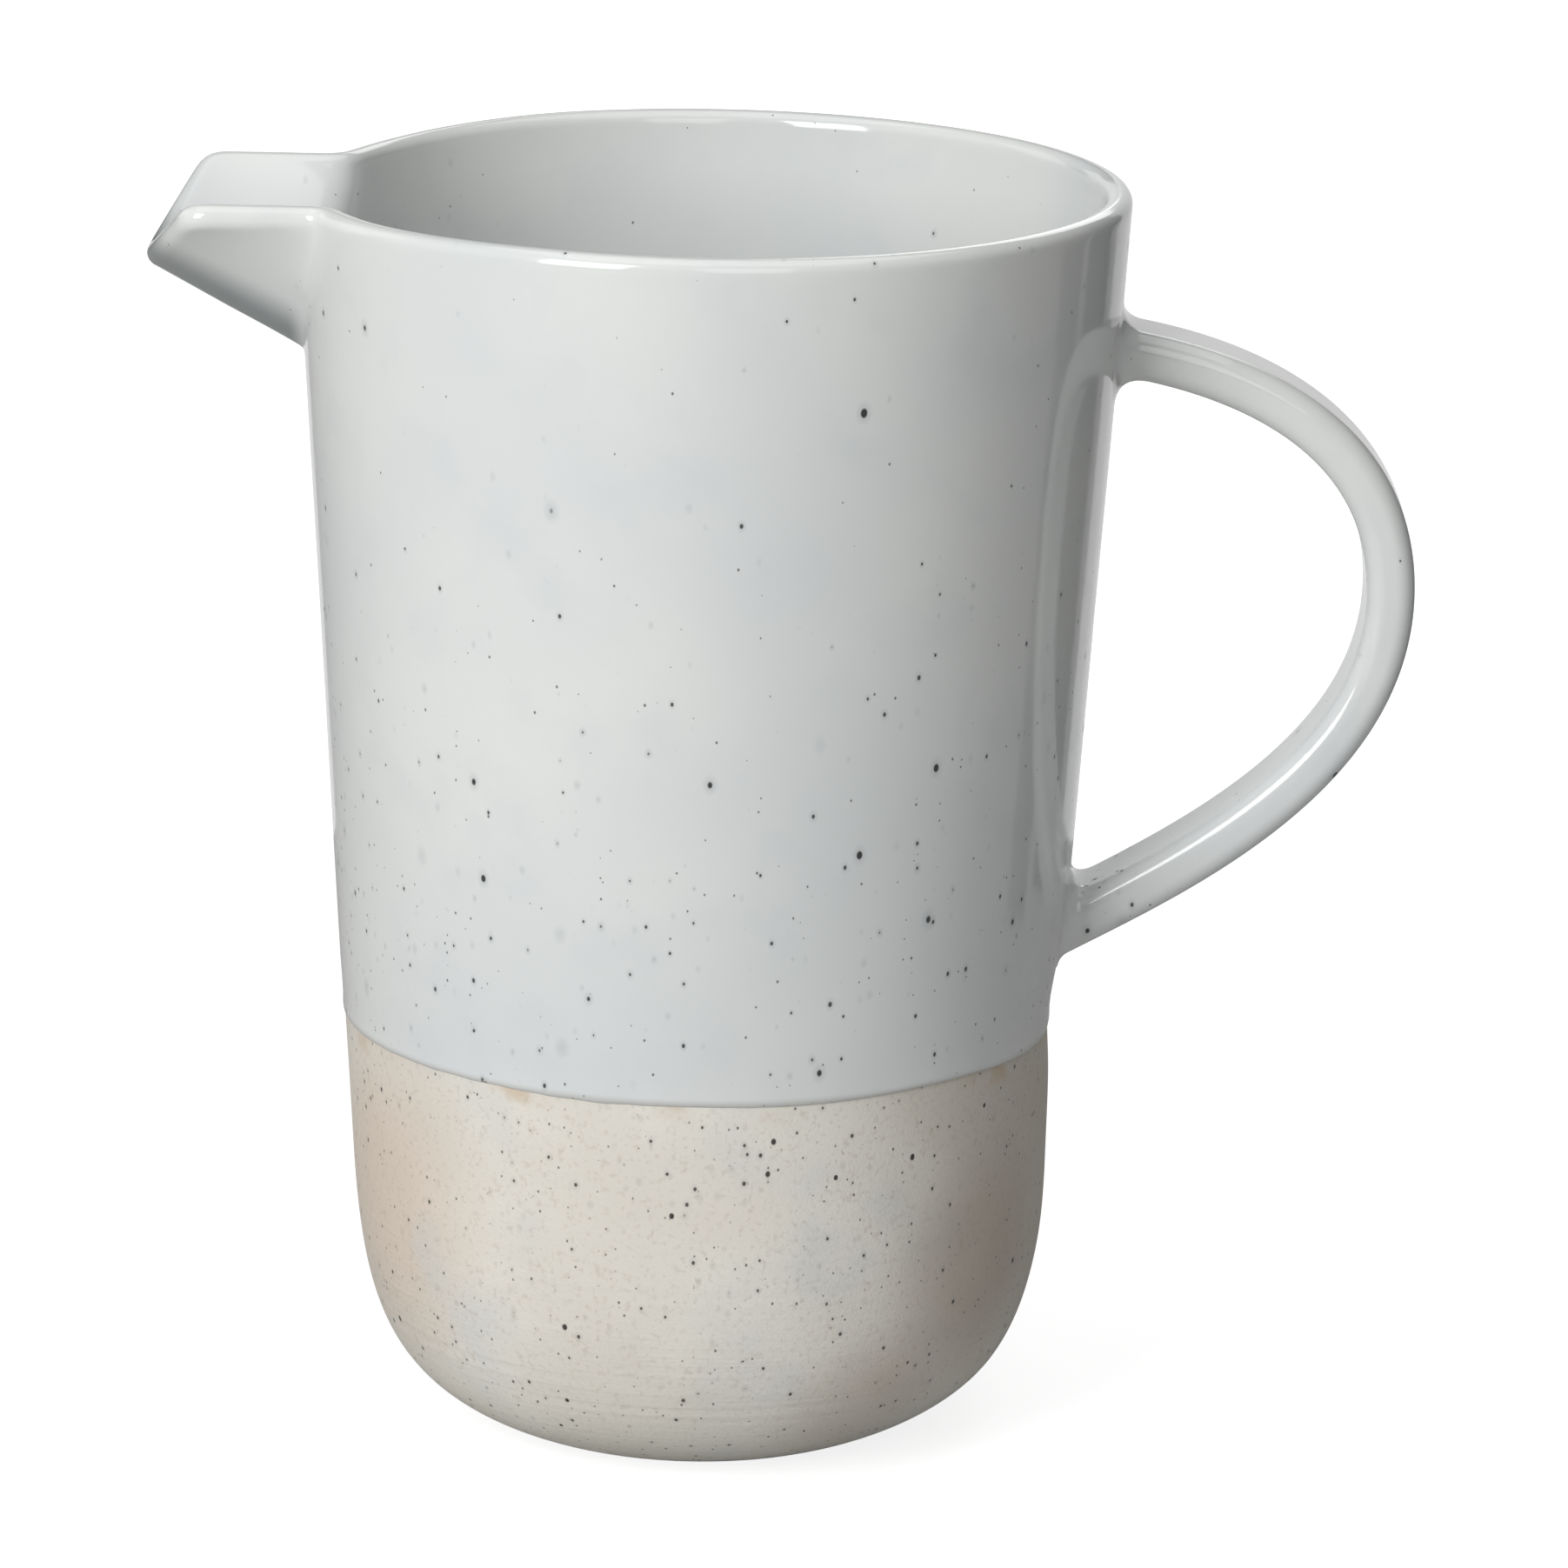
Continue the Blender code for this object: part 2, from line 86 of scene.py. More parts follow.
# %% Sizes of the spout and the handle
spout_low, spout_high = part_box("spout_glaze")
SPOUT_TOP = spout_high.z
SPOUT_TIP = -spout_low.x
SPOUT_HALF_WIDTH = 21.5 * MM
SPOUT_RAKE = math.radians(34.4)
SPOUT_KEEL_SLOPE = math.radians(28.8)
SPOUT_KEEL_RADIUS = 5.2 * MM
SPOUT_KEEL_AT_WALL = SPOUT_TOP - 24.75 * MM
SPOUT_LEG = 0.84
SPOUT_BELLY = 0.05
SPOUT_CORNER = SPOUT_TIP - 7.05 * MM
SPOUT_FRONT_DEPTH = 12.95 * MM
SPOUT_LIP_SAG = 0.35 * MM
SPOUT_ROOT = RIM_RADIUS - 13.0 * MM

handle_low, handle_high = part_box("handle_glaze")
HANDLE_WIDTH = handle_high.y - handle_low.y
HANDLE_THICKNESS = 7.3 * MM
HANDLE_CORNER = 2.8 * MM
HANDLE_BOW = handle_high.x - HANDLE_THICKNESS / 2
HANDLE_TOP = HEIGHT - 23.95 * MM
HANDLE_BOTTOM = HANDLE_TOP - 89.1 * MM
HANDLE_BOW_HEIGHT = HANDLE_TOP - 36.8 * MM
HANDLE_TILTS = (math.radians(-8.1), math.radians(28.8))
HANDLE_PULLS = (17.0 * MM, 25.9 * MM, 27.3 * MM, 19.5 * MM)
HANDLE_FILLETS = (4.4 * MM, 3.0 * MM)
print("spout reaches", round(1000 * SPOUT_TIP, 1), "handle reaches", round(1000 * handle_high.x, 1), "mm")

# %% [markdown]
# ## The camera
#
# The pitcher is seen from its side and from a little above, with a long lens, so that the rim is a thin ellipse
# and the wall hardly narrows with distance. The camera is built from its elevation, its small roll and the
# point that it looks at.

# %% Place the camera
CAMERA_DISTANCE = 1.300
CAMERA_ELEVATION = math.radians(14.6)
CAMERA_ROLL = math.radians(1.11)
CAMERA_TARGET = Vector((12.13 * MM, 0.0, 99.14 * MM))

back = Vector((0.0, -math.cos(CAMERA_ELEVATION), math.sin(CAMERA_ELEVATION)))
level = Vector((1.0, 0.0, 0.0))
upward = back.cross(level)
right = level * math.cos(CAMERA_ROLL) + upward * math.sin(CAMERA_ROLL)
camera = bpy.data.objects.new("camera", bpy.data.cameras.new("camera"))
camera.matrix_world = Matrix.Translation(CAMERA_TARGET + back * CAMERA_DISTANCE) @ Matrix(
    (right, back.cross(right), back)).transposed().to_4x4()
camera.data.sensor_width = 36.0
camera.data.lens = 196.16
camera.data.clip_start = 0.1
bpy.context.scene.collection.objects.link(camera)
bpy.context.scene.camera = camera
print("camera at", [round(value, 3) for value in camera.location])

# %% [markdown]
# ## Helpers
#
# Colours are written as the hex codes a paint chart would use, and one function turns them into the linear
# values that the shader works with. One function adds a node, sets it up and links its inputs.


# %% Colours and nodes
def linear(code):
    """Turns an sRGB hex colour into linear red, green, blue and alpha."""
    channels = [int(code[place:place + 2], 16) / 255 for place in (1, 3, 5)]
    return (*[c / 12.92 if c <= 0.04045 else ((c + 0.055) / 1.055) ** 2.4 for c in channels], 1.0)


def add(tree, kind, settings=None, **inputs):
    """Adds a node with its settings, or with just its operation, and links or sets its inputs by name."""
    node = tree.nodes.new(kind)
    if isinstance(settings, str):
        settings = {"operation": settings}
    for name, value in (settings or {}).items():
        setattr(node, name, value)
    for name, value in inputs.items():
        key = int(name[1:]) if name[0] == "i" and name[1:].isdigit() else name.replace("_", " ")
        if isinstance(value, bpy.types.NodeSocket):
            tree.links.new(value, node.inputs[key])
        else:
            node.inputs[key].default_value = value
    return node


def fade_in(value, start, length):
    """A soft ramp from 0 to 1 that begins at a value and takes a length."""
    share = np.clip((value - start) / length, 0.0, 1.0)
    return share * share * (3.0 - 2.0 * share)


def unit(vectors):
    """Vectors made one unit long."""
    return vectors / np.linalg.norm(vectors, axis=-1, keepdims=True)


def travelled(points):
    """How far along a line of points each of them lies."""
    return np.concatenate(([0.0], np.cumsum(np.linalg.norm(np.diff(points, axis=0), axis=1))))


def spots_of(mesh):
    """The places of a mesh's vertices."""
    return np.array([vertex.co for vertex in mesh.vertices])


print("white glaze in linear light:", [round(c, 3) for c in linear("#E2E4E1")[:3]])

# %% [markdown]
# ## The glaze
#
# The glaze is a glossy grey-white stoneware glaze, dipped on, over a clay full of iron. Iron grains burn
# through it as black specks. The larger ones have a soft grey halo where the iron has bled, and others lie
# deeper, so that they show as faint grey dots. A Voronoi texture makes them: each cell holds one grain, and the
# surface cuts the grains at random heights, which gives discs of every size. Grains settle and stretch a little
# as the glaze runs down, so the pattern is stretched along Z. The specks thin out towards the rim and on the
# handle.


# %% A layer of iron specks
SOFT = {"interpolation_type": "SMOOTHSTEP"}


def speck_layer(tree, point, grain, spacing, share, stretch=1.3, edge=0.35):
    """Masks for grains of a radius (metres) that lie one to each cell: (the grain itself, its halo)."""
    cells = 1.0 / spacing
    stretched = add(tree, "ShaderNodeMapping", {"vector_type": "POINT"}, Vector=point,
                    Scale=(cells, cells, cells / stretch))
    voronoi = add(tree, "ShaderNodeTexVoronoi", {"feature": "F1", "voronoi_dimensions": "3D"},
                  Vector=stretched.outputs[0], Scale=1.0, Randomness=1.0)
    chance = add(tree, "ShaderNodeSeparateColor", None, Color=voronoi.outputs["Color"])
    kept = add(tree, "ShaderNodeMath", "LESS_THAN", i0=chance.outputs[0], i1=share)
    size = add(tree, "ShaderNodeMapRange", None, Value=chance.outputs[1], To_Min=0.35 * grain * cells,
               To_Max=grain * cells)
    reach = add(tree, "ShaderNodeMath", "DIVIDE", i0=voronoi.outputs["Distance"], i1=size.outputs[0])
    dot = add(tree, "ShaderNodeMapRange", SOFT, Value=reach.outputs[0], From_Min=1.0, From_Max=1.0 - edge)
    halo = add(tree, "ShaderNodeMapRange", SOFT, Value=reach.outputs[0], From_Min=2.6, From_Max=0.8)
    shown = [add(tree, "ShaderNodeMath", "MULTIPLY", i0=mask.outputs[0], i1=kept.outputs[0])
             for mask in (dot, halo)]
    return shown[0].outputs[0], shown[1].outputs[0]


def height_ramp(tree, point, low, high, at_low, at_high):
    """A number that changes from one height (metres) to another."""
    parts = add(tree, "ShaderNodeSeparateXYZ", None, Vector=point)
    ramp = add(tree, "ShaderNodeMapRange", SOFT, Value=parts.outputs["Z"],
               From_Min=low, From_Max=high, To_Min=at_low, To_Max=at_high)
    return ramp.outputs[0]


def cloud(tree, point, size, low, high, detail=2.0, at_low=0.0, at_high=1.0):
    """Soft noise with features of a size (metres), spread between two levels."""
    texture = add(tree, "ShaderNodeTexNoise", None, Vector=point, Scale=1.0 / size, Detail=detail)
    spread = add(tree, "ShaderNodeMapRange", SOFT, Value=texture.outputs[0],
                 From_Min=low, From_Max=high, To_Min=at_low, To_Max=at_high)
    return spread.outputs[0]


def patch_at(tree, point, centre, radius):
    """A soft round mask about a place on the piece, given in millimetres."""
    away = add(tree, "ShaderNodeVectorMath", "DISTANCE", i0=point,
               i1=[value * MM for value in centre]).outputs["Value"]
    return add(tree, "ShaderNodeMapRange", SOFT, Value=away, From_Min=radius * MM,
               From_Max=0.25 * radius * MM).outputs[0]


def tint(tree, under, colour, mask, strength=1.0):
    """Lays a colour over another where a mask is, at a strength."""
    amount = add(tree, "ShaderNodeMath", {"operation": "MULTIPLY", "use_clamp": True}, i0=mask, i1=strength)
    mixed = add(tree, "ShaderNodeMix", {"data_type": "RGBA", "clamp_factor": True}, i0=amount.outputs[0],
                i6=under, i7=linear(colour))
    return mixed.outputs[2]


def new_finish(name):
    """An empty material, its tree and the place on the piece that its patterns read."""
    material = bpy.data.materials.new(name)
    material.use_nodes = True
    tree = material.node_tree
    tree.nodes.clear()
    return material, tree, add(tree, "ShaderNodeTexCoord").outputs["Object"]


def end_finish(tree, colour, roughness, ior, bump):
    """Ends a material with its surface."""
    shader = add(tree, "ShaderNodeBsdfPrincipled", None, Base_Color=colour, Roughness=roughness, IOR=ior,
                 Normal=bump.outputs[0])
    add(tree, "ShaderNodeOutputMaterial", None, Surface=shader.outputs[0])


print("speck helpers ready")


# %% Painted shade above the spout's fold, and where the glaze lies thin
def painted_keel_shade(tree, point):
    """Painted shade: a grey band painted on the spout's side just above the fold, for the shade and dark
    reflection there.
    """
    parts = add(tree, "ShaderNodeSeparateXYZ", None, Vector=point)
    slope = math.tan(SPOUT_KEEL_SLOPE)
    fold = SPOUT_KEEL_AT_WALL - RIM_RADIUS * slope
    height = add(tree, "ShaderNodeMath", "MULTIPLY_ADD", i0=parts.outputs["X"], i1=slope,
                 i2=parts.outputs["Z"]).outputs[0]
    gathered = add(tree, "ShaderNodeMapRange", SOFT, Value=height, From_Min=fold + 9.5 * MM,
                   From_Max=fold + 2.0 * MM).outputs[0]
    on_spout = add(tree, "ShaderNodeMapRange", SOFT, Value=parts.outputs["X"], From_Min=-59.5 * MM,
                   From_Max=-63.5 * MM).outputs[0]
    return add(tree, "ShaderNodeMath", "MULTIPLY", i0=gathered, i1=on_spout).outputs[0]


def thin_edge(tree, point):
    """The last millimetre of the dip, on the outside only, where thin glaze lets the clay show."""
    low = height_ramp(tree, point, GLAZE_LINE + 0.1 * MM, GLAZE_LINE + 1.3 * MM, 1.0, 0.0)
    flat = add(tree, "ShaderNodeVectorMath", "MULTIPLY", i0=point, i1=FLAT).outputs[0]
    from_axis = add(tree, "ShaderNodeVectorMath", "LENGTH", i0=flat).outputs["Value"]
    outside = add(tree, "ShaderNodeMath", "GREATER_THAN", i0=from_axis,
                  i1=RIM_RADIUS - WALL_LEAN * (LIP_CENTRE - GLAZE_LINE) - LIP_HALF).outputs[0]
    return add(tree, "ShaderNodeMath", "MULTIPLY", i0=low, i1=outside).outputs[0]


print("the fold lies", round(1000 * SPOUT_KEEL_AT_WALL, 1), "mm up where it meets the wall")


# %% Grey-white stoneware glaze
def make_glaze():
    """A fired gloss: a smooth glass skin over an opaque body colour, so it mirrors the studio sharply."""
    material, tree, point = new_finish("glossy_grey_white_glaze")
    density = height_ramp(tree, point, 80 * MM, 165 * MM, 1.0, 0.13)
    coarse = cloud(tree, point, 30 * MM, 0.38, 0.60, 1.0, 0.5, 1.0)
    sideways = add(tree, "ShaderNodeSeparateXYZ", None, Vector=point).outputs["X"]
    on_handle = add(tree, "ShaderNodeMapRange", None, Value=sideways, From_Min=60 * MM, From_Max=68 * MM,
                    To_Min=1.0, To_Max=0.25).outputs[0]
    wall_crowd = add(tree, "ShaderNodeMath", "MULTIPLY", i0=density, i1=coarse).outputs[0]
    crowd = add(tree, "ShaderNodeMath", "MULTIPLY", i0=wall_crowd, i1=on_handle).outputs[0]

    def share(amount):
        return add(tree, "ShaderNodeMath", "MULTIPLY", i0=crowd, i1=amount).outputs[0]

    big, big_halo = speck_layer(tree, point, 0.68 * MM, 5.6 * MM, share(0.80), 1.4)
    mid, mid_halo = speck_layer(tree, point, 0.37 * MM, 2.6 * MM, share(0.95), 1.4)
    fine, _ = speck_layer(tree, point, 0.26 * MM, 1.65 * MM, share(0.90), edge=0.5)
    sunk, _ = speck_layer(tree, point, 0.46 * MM, 3.9 * MM, share(0.50), edge=0.9)

    colour = add(tree, "ShaderNodeMix", {"data_type": "RGBA"}, i0=cloud(tree, point, 60 * MM, 0.35, 0.65),
                 i6=linear("#DADDDD"), i7=linear("#E2E4E1")).outputs[2]
    for code, mask, strength in (
        ("#C9CFD3", cloud(tree, point, 14 * MM, 0.5, 0.75, 3.0), 0.20),
        ("#A9AFB3", sunk, 0.18),
        ("#8C9396", big_halo, 0.20),
        ("#969C9F", mid_halo, 0.22),
        ("#454341", fine, 0.80),
        ("#2A2927", mid, 0.90),
        ("#151413", big, 0.95),
        # painted shade: grey along the spout's fold
        ("#7C8382", painted_keel_shade(tree, point), 0.90),
        ("#A9A79E", thin_edge(tree, point), 0.45),
    ):
        colour = tint(tree, colour, code, mask, strength)

    peel = add(tree, "ShaderNodeTexNoise", None, Vector=point, Scale=1.0 / (5 * MM), Detail=1.0).outputs[0]
    grains = add(tree, "ShaderNodeMath", "MULTIPLY", i0=big, i1=0.5).outputs[0]
    relief = add(tree, "ShaderNodeMath", "SUBTRACT", i0=peel, i1=grains).outputs[0]
    bump = add(tree, "ShaderNodeBump", None, Strength=1.0, Distance=0.02 * MM, Height=relief)
    gloss = cloud(tree, point, 4 * MM, 0.3, 0.7, 2.0, 0.07, 0.11)
    matt = add(tree, "ShaderNodeMath", "MULTIPLY_ADD", i0=big, i1=0.3, i2=gloss).outputs[0]
    end_finish(tree, colour, matt, 1.52, bump)
    return material


glaze = make_glaze()
print("glaze nodes:", len(glaze.node_tree.nodes))


# %% Bare speckled stoneware
def make_bare_clay():
    """Unglazed stoneware: matt and slightly toothy, with iron specks, pink and grey clouds and fine ridges."""
    material, tree, point = new_finish("bare_speckled_stoneware")
    big, _ = speck_layer(tree, point, 0.58 * MM, 5.2 * MM, 0.60)
    mid, mid_halo = speck_layer(tree, point, 0.36 * MM, 2.3 * MM, 0.75)
    fine, _ = speck_layer(tree, point, 0.27 * MM, 1.45 * MM, 0.60, edge=0.5)
    rust, _ = speck_layer(tree, point, 0.27 * MM, 1.8 * MM, 0.50, edge=0.7)

    colour = add(tree, "ShaderNodeMix", {"data_type": "RGBA"}, i0=cloud(tree, point, 45 * MM, 0.38, 0.64, 3.0),
                 i6=linear("#E0DBD1"), i7=linear("#E9E6DD")).outputs[2]
    sideways = add(tree, "ShaderNodeSeparateXYZ", None, Vector=point).outputs["X"]
    flame_side = add(tree, "ShaderNodeMapRange", SOFT, Value=sideways, From_Min=18 * MM,
                     From_Max=62 * MM).outputs[0]
    flash = height_ramp(tree, point, GLAZE_LINE - 4 * MM, GLAZE_LINE - 0.5 * MM, 0.0, 1.0)
    streak = add(tree, "ShaderNodeMath", "MULTIPLY", i0=flash,
                 i1=cloud(tree, point, 9 * MM, 0.50, 0.68, 3.0)).outputs[0]
    for code, mask, strength in (
        ("#DCCAB8", patch_at(tree, point, (-52, -26, 40), 34), 0.70),
        ("#E2D3C5", cloud(tree, point, 30 * MM, 0.55, 0.78, 2.0), 0.25),
        ("#CFD3D2", cloud(tree, point, 20 * MM, 0.52, 0.74, 2.0), 0.40),
        ("#C0B3A1", flame_side, 0.35),
        ("#A48C78", patch_at(tree, point, (46, -34, 33), 24), 0.38),
        ("#A38877", patch_at(tree, point, (26, -40, 11), 18), 0.35),
        ("#B4A48F", cloud(tree, point, 0.9 * MM, 0.52, 0.75, 3.0), 0.30),
        # painted light: the clay is lighter towards the bottom, for light bounced up from the table
        ("#F3F1E6", height_ramp(tree, point, 4 * MM, 24 * MM, 1.0, 0.0), 0.45),
        ("#C9AA84", streak, 0.50),
        ("#8E8A86", mid_halo, 0.18),
        ("#8A5F44", rust, 0.45),
        ("#3E3934", fine, 0.80),
        ("#37332F", mid, 0.90),
        ("#24211F", big, 0.95),
    ):
        colour = tint(tree, colour, code, mask, strength)

    grit = add(tree, "ShaderNodeTexNoise", None, Vector=point, Scale=1.0 / (0.5 * MM), Detail=2.0).outputs[0]
    flat = add(tree, "ShaderNodeMapping", None, Vector=point, Scale=(12.0, 12.0, 1.0 / (1.1 * MM)))
    ridges = add(tree, "ShaderNodeTexNoise", None, Vector=flat.outputs[0], Scale=1.0, Detail=1.0).outputs[0]
    lower = height_ramp(tree, point, 18 * MM, 45 * MM, 2.2, 0.35)
    lines = add(tree, "ShaderNodeMath", "MULTIPLY", i0=ridges, i1=lower).outputs[0]
    relief = add(tree, "ShaderNodeMath", "ADD", i0=grit, i1=lines).outputs[0]
    bump = add(tree, "ShaderNodeBump", None, Strength=1.0, Distance=0.06 * MM, Height=relief)
    rough = cloud(tree, point, 3 * MM, 0.3, 0.7, 3.0, 0.58, 0.74)
    end_finish(tree, colour, rough, 1.5, bump)
    return material


bare_clay = make_bare_clay()
print("clay nodes:", len(bare_clay.node_tree.nodes))

# %% [markdown]
# ## The lines of the turned body
#
# The outside is a straight wall that leans out by about a sixteenth, then a soft curve in to the flat foot. The
# inside follows it, with a wall that thickens from 4 mm at the lip to 5.4 mm at the turn of the base.


# %% Outside and inside lines
def outer_radius(height):
    """The glazed outside of the straight wall."""
    return RIM_RADIUS - WALL_LEAN * (LIP_CENTRE - height)


def half_wall(height):
    """Half the thickness of the wall, which grows downwards."""
    return LIP_HALF + (BASE_WALL / 2 - LIP_HALF) * (LIP_CENTRE - height) / (LIP_CENTRE - BASE_HEIGHT)


def middle_radius(height):
    """The middle of the wall."""
    return outer_radius(height) - half_wall(height)


def curve_points(start, pull_start, pull_end, end, steps):
    """Points on a cubic curve, its start left out."""
    t = np.arange(1, steps + 1)[:, None] / steps
    corners = [np.array(corner) for corner in (start, pull_start, pull_end, end)]
    weights = ((1 - t) ** 3, 3 * t * (1 - t) ** 2, 3 * t * t * (1 - t), t ** 3)
    return sum(weight * corner for weight, corner in zip(weights, corners))


def base_line(inset, steps):
    """The (radius, height) line of the round base from the straight wall down to the foot."""
    turn = np.array((outer_radius(BASE_HEIGHT) - inset, BASE_HEIGHT))
    foot = np.array((FOOT_RADIUS, 0.0))
    down_wall = np.array((-WALL_LEAN, -1.0))
    up_base = np.array((math.cos(BASE_RISE), math.sin(BASE_RISE)))
    return curve_points(turn, turn + down_wall * BASE_PULL_AT_WALL, foot + up_base * BASE_PULL_AT_FOOT, foot,
                        steps)


def inside_base_line(steps):
    """The line of the inside from the straight wall down to the flat floor."""
    turn = np.array((outer_radius(BASE_HEIGHT) - BASE_WALL, BASE_HEIGHT))
    floor = np.array((INSIDE_FLOOR_RADIUS, FLOOR_TOP))
    pull = BASE_PULL_AT_WALL * (BASE_HEIGHT - FLOOR_TOP) / BASE_HEIGHT
    lean = WALL_LEAN + (BASE_WALL - 2 * LIP_HALF) / (LIP_CENTRE - BASE_HEIGHT)
    return curve_points(turn, turn - np.array((lean * pull, pull)), floor + np.array((pull, 0.0)), floor, steps)


print("wall at the glaze line:", round(1000 * outer_radius(GLAZE_LINE), 2), "mm radius")

# %% [markdown]
# ## The bare foot
#
# The foot is turned on the wheel, so one line and one rule make it: the line is carried round the axis. The
# Geometry Nodes tree does just that. It makes a grid with one row for each point of the line and one column for
# each step round the axis, and moves every grid point to its place. A little noise, the same on each run, keeps
# the wall from being truer than a hand can throw it.


# %% The start and the end of a Geometry Nodes tree
def start_tree(name, source, inputs, result):
    """A tree with a geometry input, its named inputs and defaults, a finish and one output."""
    tree = bpy.data.node_groups.new(name, "GeometryNodeTree")
    tree.interface.new_socket(source, in_out="INPUT", socket_type="NodeSocketGeometry")
    for label, kind, value in inputs:
        tree.interface.new_socket(label, in_out="INPUT", socket_type="NodeSocket" + kind).default_value = value
    tree.interface.new_socket("Finish", in_out="INPUT", socket_type="NodeSocketMaterial")
    tree.interface.new_socket(result, in_out="OUTPUT", socket_type="NodeSocketGeometry")
    return tree, add(tree, "NodeGroupInput").outputs


def end_tree(tree, geometry, given, result):
    """Ends a tree with smooth faces, real geometry and its finish."""
    smooth = add(tree, "GeometryNodeSetShadeSmooth", None, Geometry=geometry).outputs[0]
    real = add(tree, "GeometryNodeRealizeInstances", None, Geometry=smooth).outputs[0]
    painted = add(tree, "GeometryNodeSetMaterial", None, Geometry=real, Material=given["Finish"]).outputs[0]
    add(tree, "NodeGroupOutput", None, **{result: painted})


print("tree helpers ready")


# %% A tree that turns a line round Z
def turning_tree():
    """Inputs: the line as a mesh, the steps round the axis, the wobble and its seed, and the material."""
    tree, given = start_tree("turned_on_the_wheel", "Line", (
        ("Steps", "Int", 64), ("Wobble", "Float", 0.0), ("Seed", "Float", 0.0)), "Surface")
    rows = add(tree, "GeometryNodeAttributeDomainSize", {"component": "MESH"},
               Geometry=given["Line"]).outputs[0]
    columns = add(tree, "ShaderNodeMath", "ADD", i0=given["Steps"], i1=1.0).outputs[0]
    grid = add(tree, "GeometryNodeMeshGrid", None, Size_X=1.0, Size_Y=1.0, Vertices_X=columns, Vertices_Y=rows)
    index = add(tree, "GeometryNodeInputIndex").outputs[0]
    row = add(tree, "ShaderNodeMath", "MODULO", i0=index, i1=rows).outputs[0]
    turns = add(tree, "ShaderNodeMath", "DIVIDE", i0=index, i1=rows).outputs[0]
    column = add(tree, "ShaderNodeMath", "FLOOR", i0=turns).outputs[0]
    share = add(tree, "ShaderNodeMath", "DIVIDE", i0=column, i1=given["Steps"]).outputs[0]
    angle = add(tree, "ShaderNodeMath", "MULTIPLY", i0=share, i1=math.tau).outputs[0]
    spot = add(tree, "GeometryNodeInputPosition").outputs[0]
    on_line = add(tree, "GeometryNodeSampleIndex", {"data_type": "FLOAT_VECTOR", "domain": "POINT"},
                  Geometry=given["Line"], Value=spot, Index=row).outputs[0]
    turned = add(tree, "ShaderNodeVectorRotate", {"rotation_type": "Z_AXIS"}, Vector=on_line,
                 Angle=angle).outputs[0]
    texture = add(tree, "ShaderNodeTexNoise", {"noise_dimensions": "4D"}, Vector=turned, W=given["Seed"],
                  Scale=1.0 / (45 * MM), Detail=1.0).outputs[0]
    centred = add(tree, "ShaderNodeMath", "SUBTRACT", i0=texture, i1=0.5).outputs[0]
    push = add(tree, "ShaderNodeMath", "MULTIPLY", i0=centred, i1=given["Wobble"]).outputs[0]
    flat = add(tree, "ShaderNodeVectorMath", "MULTIPLY", i0=turned, i1=FLAT).outputs[0]
    outward = add(tree, "ShaderNodeVectorMath", "NORMALIZE", i0=flat).outputs[0]
    moved = add(tree, "ShaderNodeVectorMath", "SCALE", i0=outward, Scale=push).outputs[0]
    place = add(tree, "ShaderNodeVectorMath", "ADD", i0=turned, i1=moved).outputs[0]
    surface = add(tree, "GeometryNodeSetPosition", None, Geometry=grid.outputs[0], Position=place).outputs[0]
    closed = add(tree, "GeometryNodeMergeByDistance", None, Geometry=surface, Distance=0.001 * MM).outputs[0]
    end_tree(tree, closed, given, "Surface")
    return tree


def line_object(name, points):
    """An object that holds only a line of edges, for a tree to read."""
    mesh = bpy.data.meshes.new(name)
    mesh.from_pydata([tuple(point) for point in points], [(i, i + 1) for i in range(len(points) - 1)], [])
    obj = bpy.data.objects.new(name, mesh)
    bpy.context.scene.collection.objects.link(obj)
    return obj


def grown(line, tree, values):
    """Runs a tree on a line and gives back its result as a plain mesh object."""
    modifier = line.modifiers.new(tree.name, "NODES")
    modifier.node_group = tree
    for item in tree.interface.items_tree:
        if item.in_out == "INPUT" and item.name in values:
            modifier[item.identifier] = values[item.name]
    evaluated = line.evaluated_get(bpy.context.evaluated_depsgraph_get())
    mesh = bpy.data.meshes.new_from_object(evaluated)
    name = line.name
    bpy.data.objects.remove(line)
    mesh.name = name
    obj = bpy.data.objects.new(name, mesh)
    bpy.context.scene.collection.objects.link(obj)
    return obj


PRESS_DEPTH = 1.35 * MM
PRESS_BELOW_HANDLE = 13.0 * MM
PRESS_HEIGHT = 9.0 * MM
PRESS_WIDTH = 17.0 * MM
FULL_DEPTH = 0.95 * MM
FULL_FROM = 12.0 * MM
FULL_TO = 28.0 * MM
FULL_FADE = 27.0 * MM


def hand_marks(points):
    """How far the potter's hand has moved the outside: a press below the handle and a fuller foot."""
    x, y, z = np.moveaxis(points, -1, 0)
    ahead = np.clip(x, 0.0, None) / np.maximum(np.hypot(x, y), 1 * MM)
    press = np.exp(-((z - HANDLE_BOTTOM + PRESS_BELOW_HANDLE) / PRESS_HEIGHT) ** 2 - (y / PRESS_WIDTH) ** 2)
    full = fade_in(z, 0.0, FULL_FROM) * (1 - fade_in(z, FULL_TO, FULL_FADE))
    return ahead * (FULL_DEPTH * full * ahead - PRESS_DEPTH * press * (x > 0))


def volume(mesh):
    """The volume inside a closed mesh, in cubic millimetres: negative if its faces point inwards."""
    mesh.calc_loop_triangles()
    corners = spots_of(mesh)[np.array([triangle.vertices for triangle in mesh.loop_triangles])]
    return float(np.einsum("ij,ij->i", corners[:, 0], np.cross(corners[:, 1], corners[:, 2])).sum() / 6 * 1e9)


print("tree for turned forms ready")

# %% Turn the foot
CLAY_INSET = 0.2 * MM
FOOT_EDGE = 0.8 * MM
SKIRT = 1.5 * MM

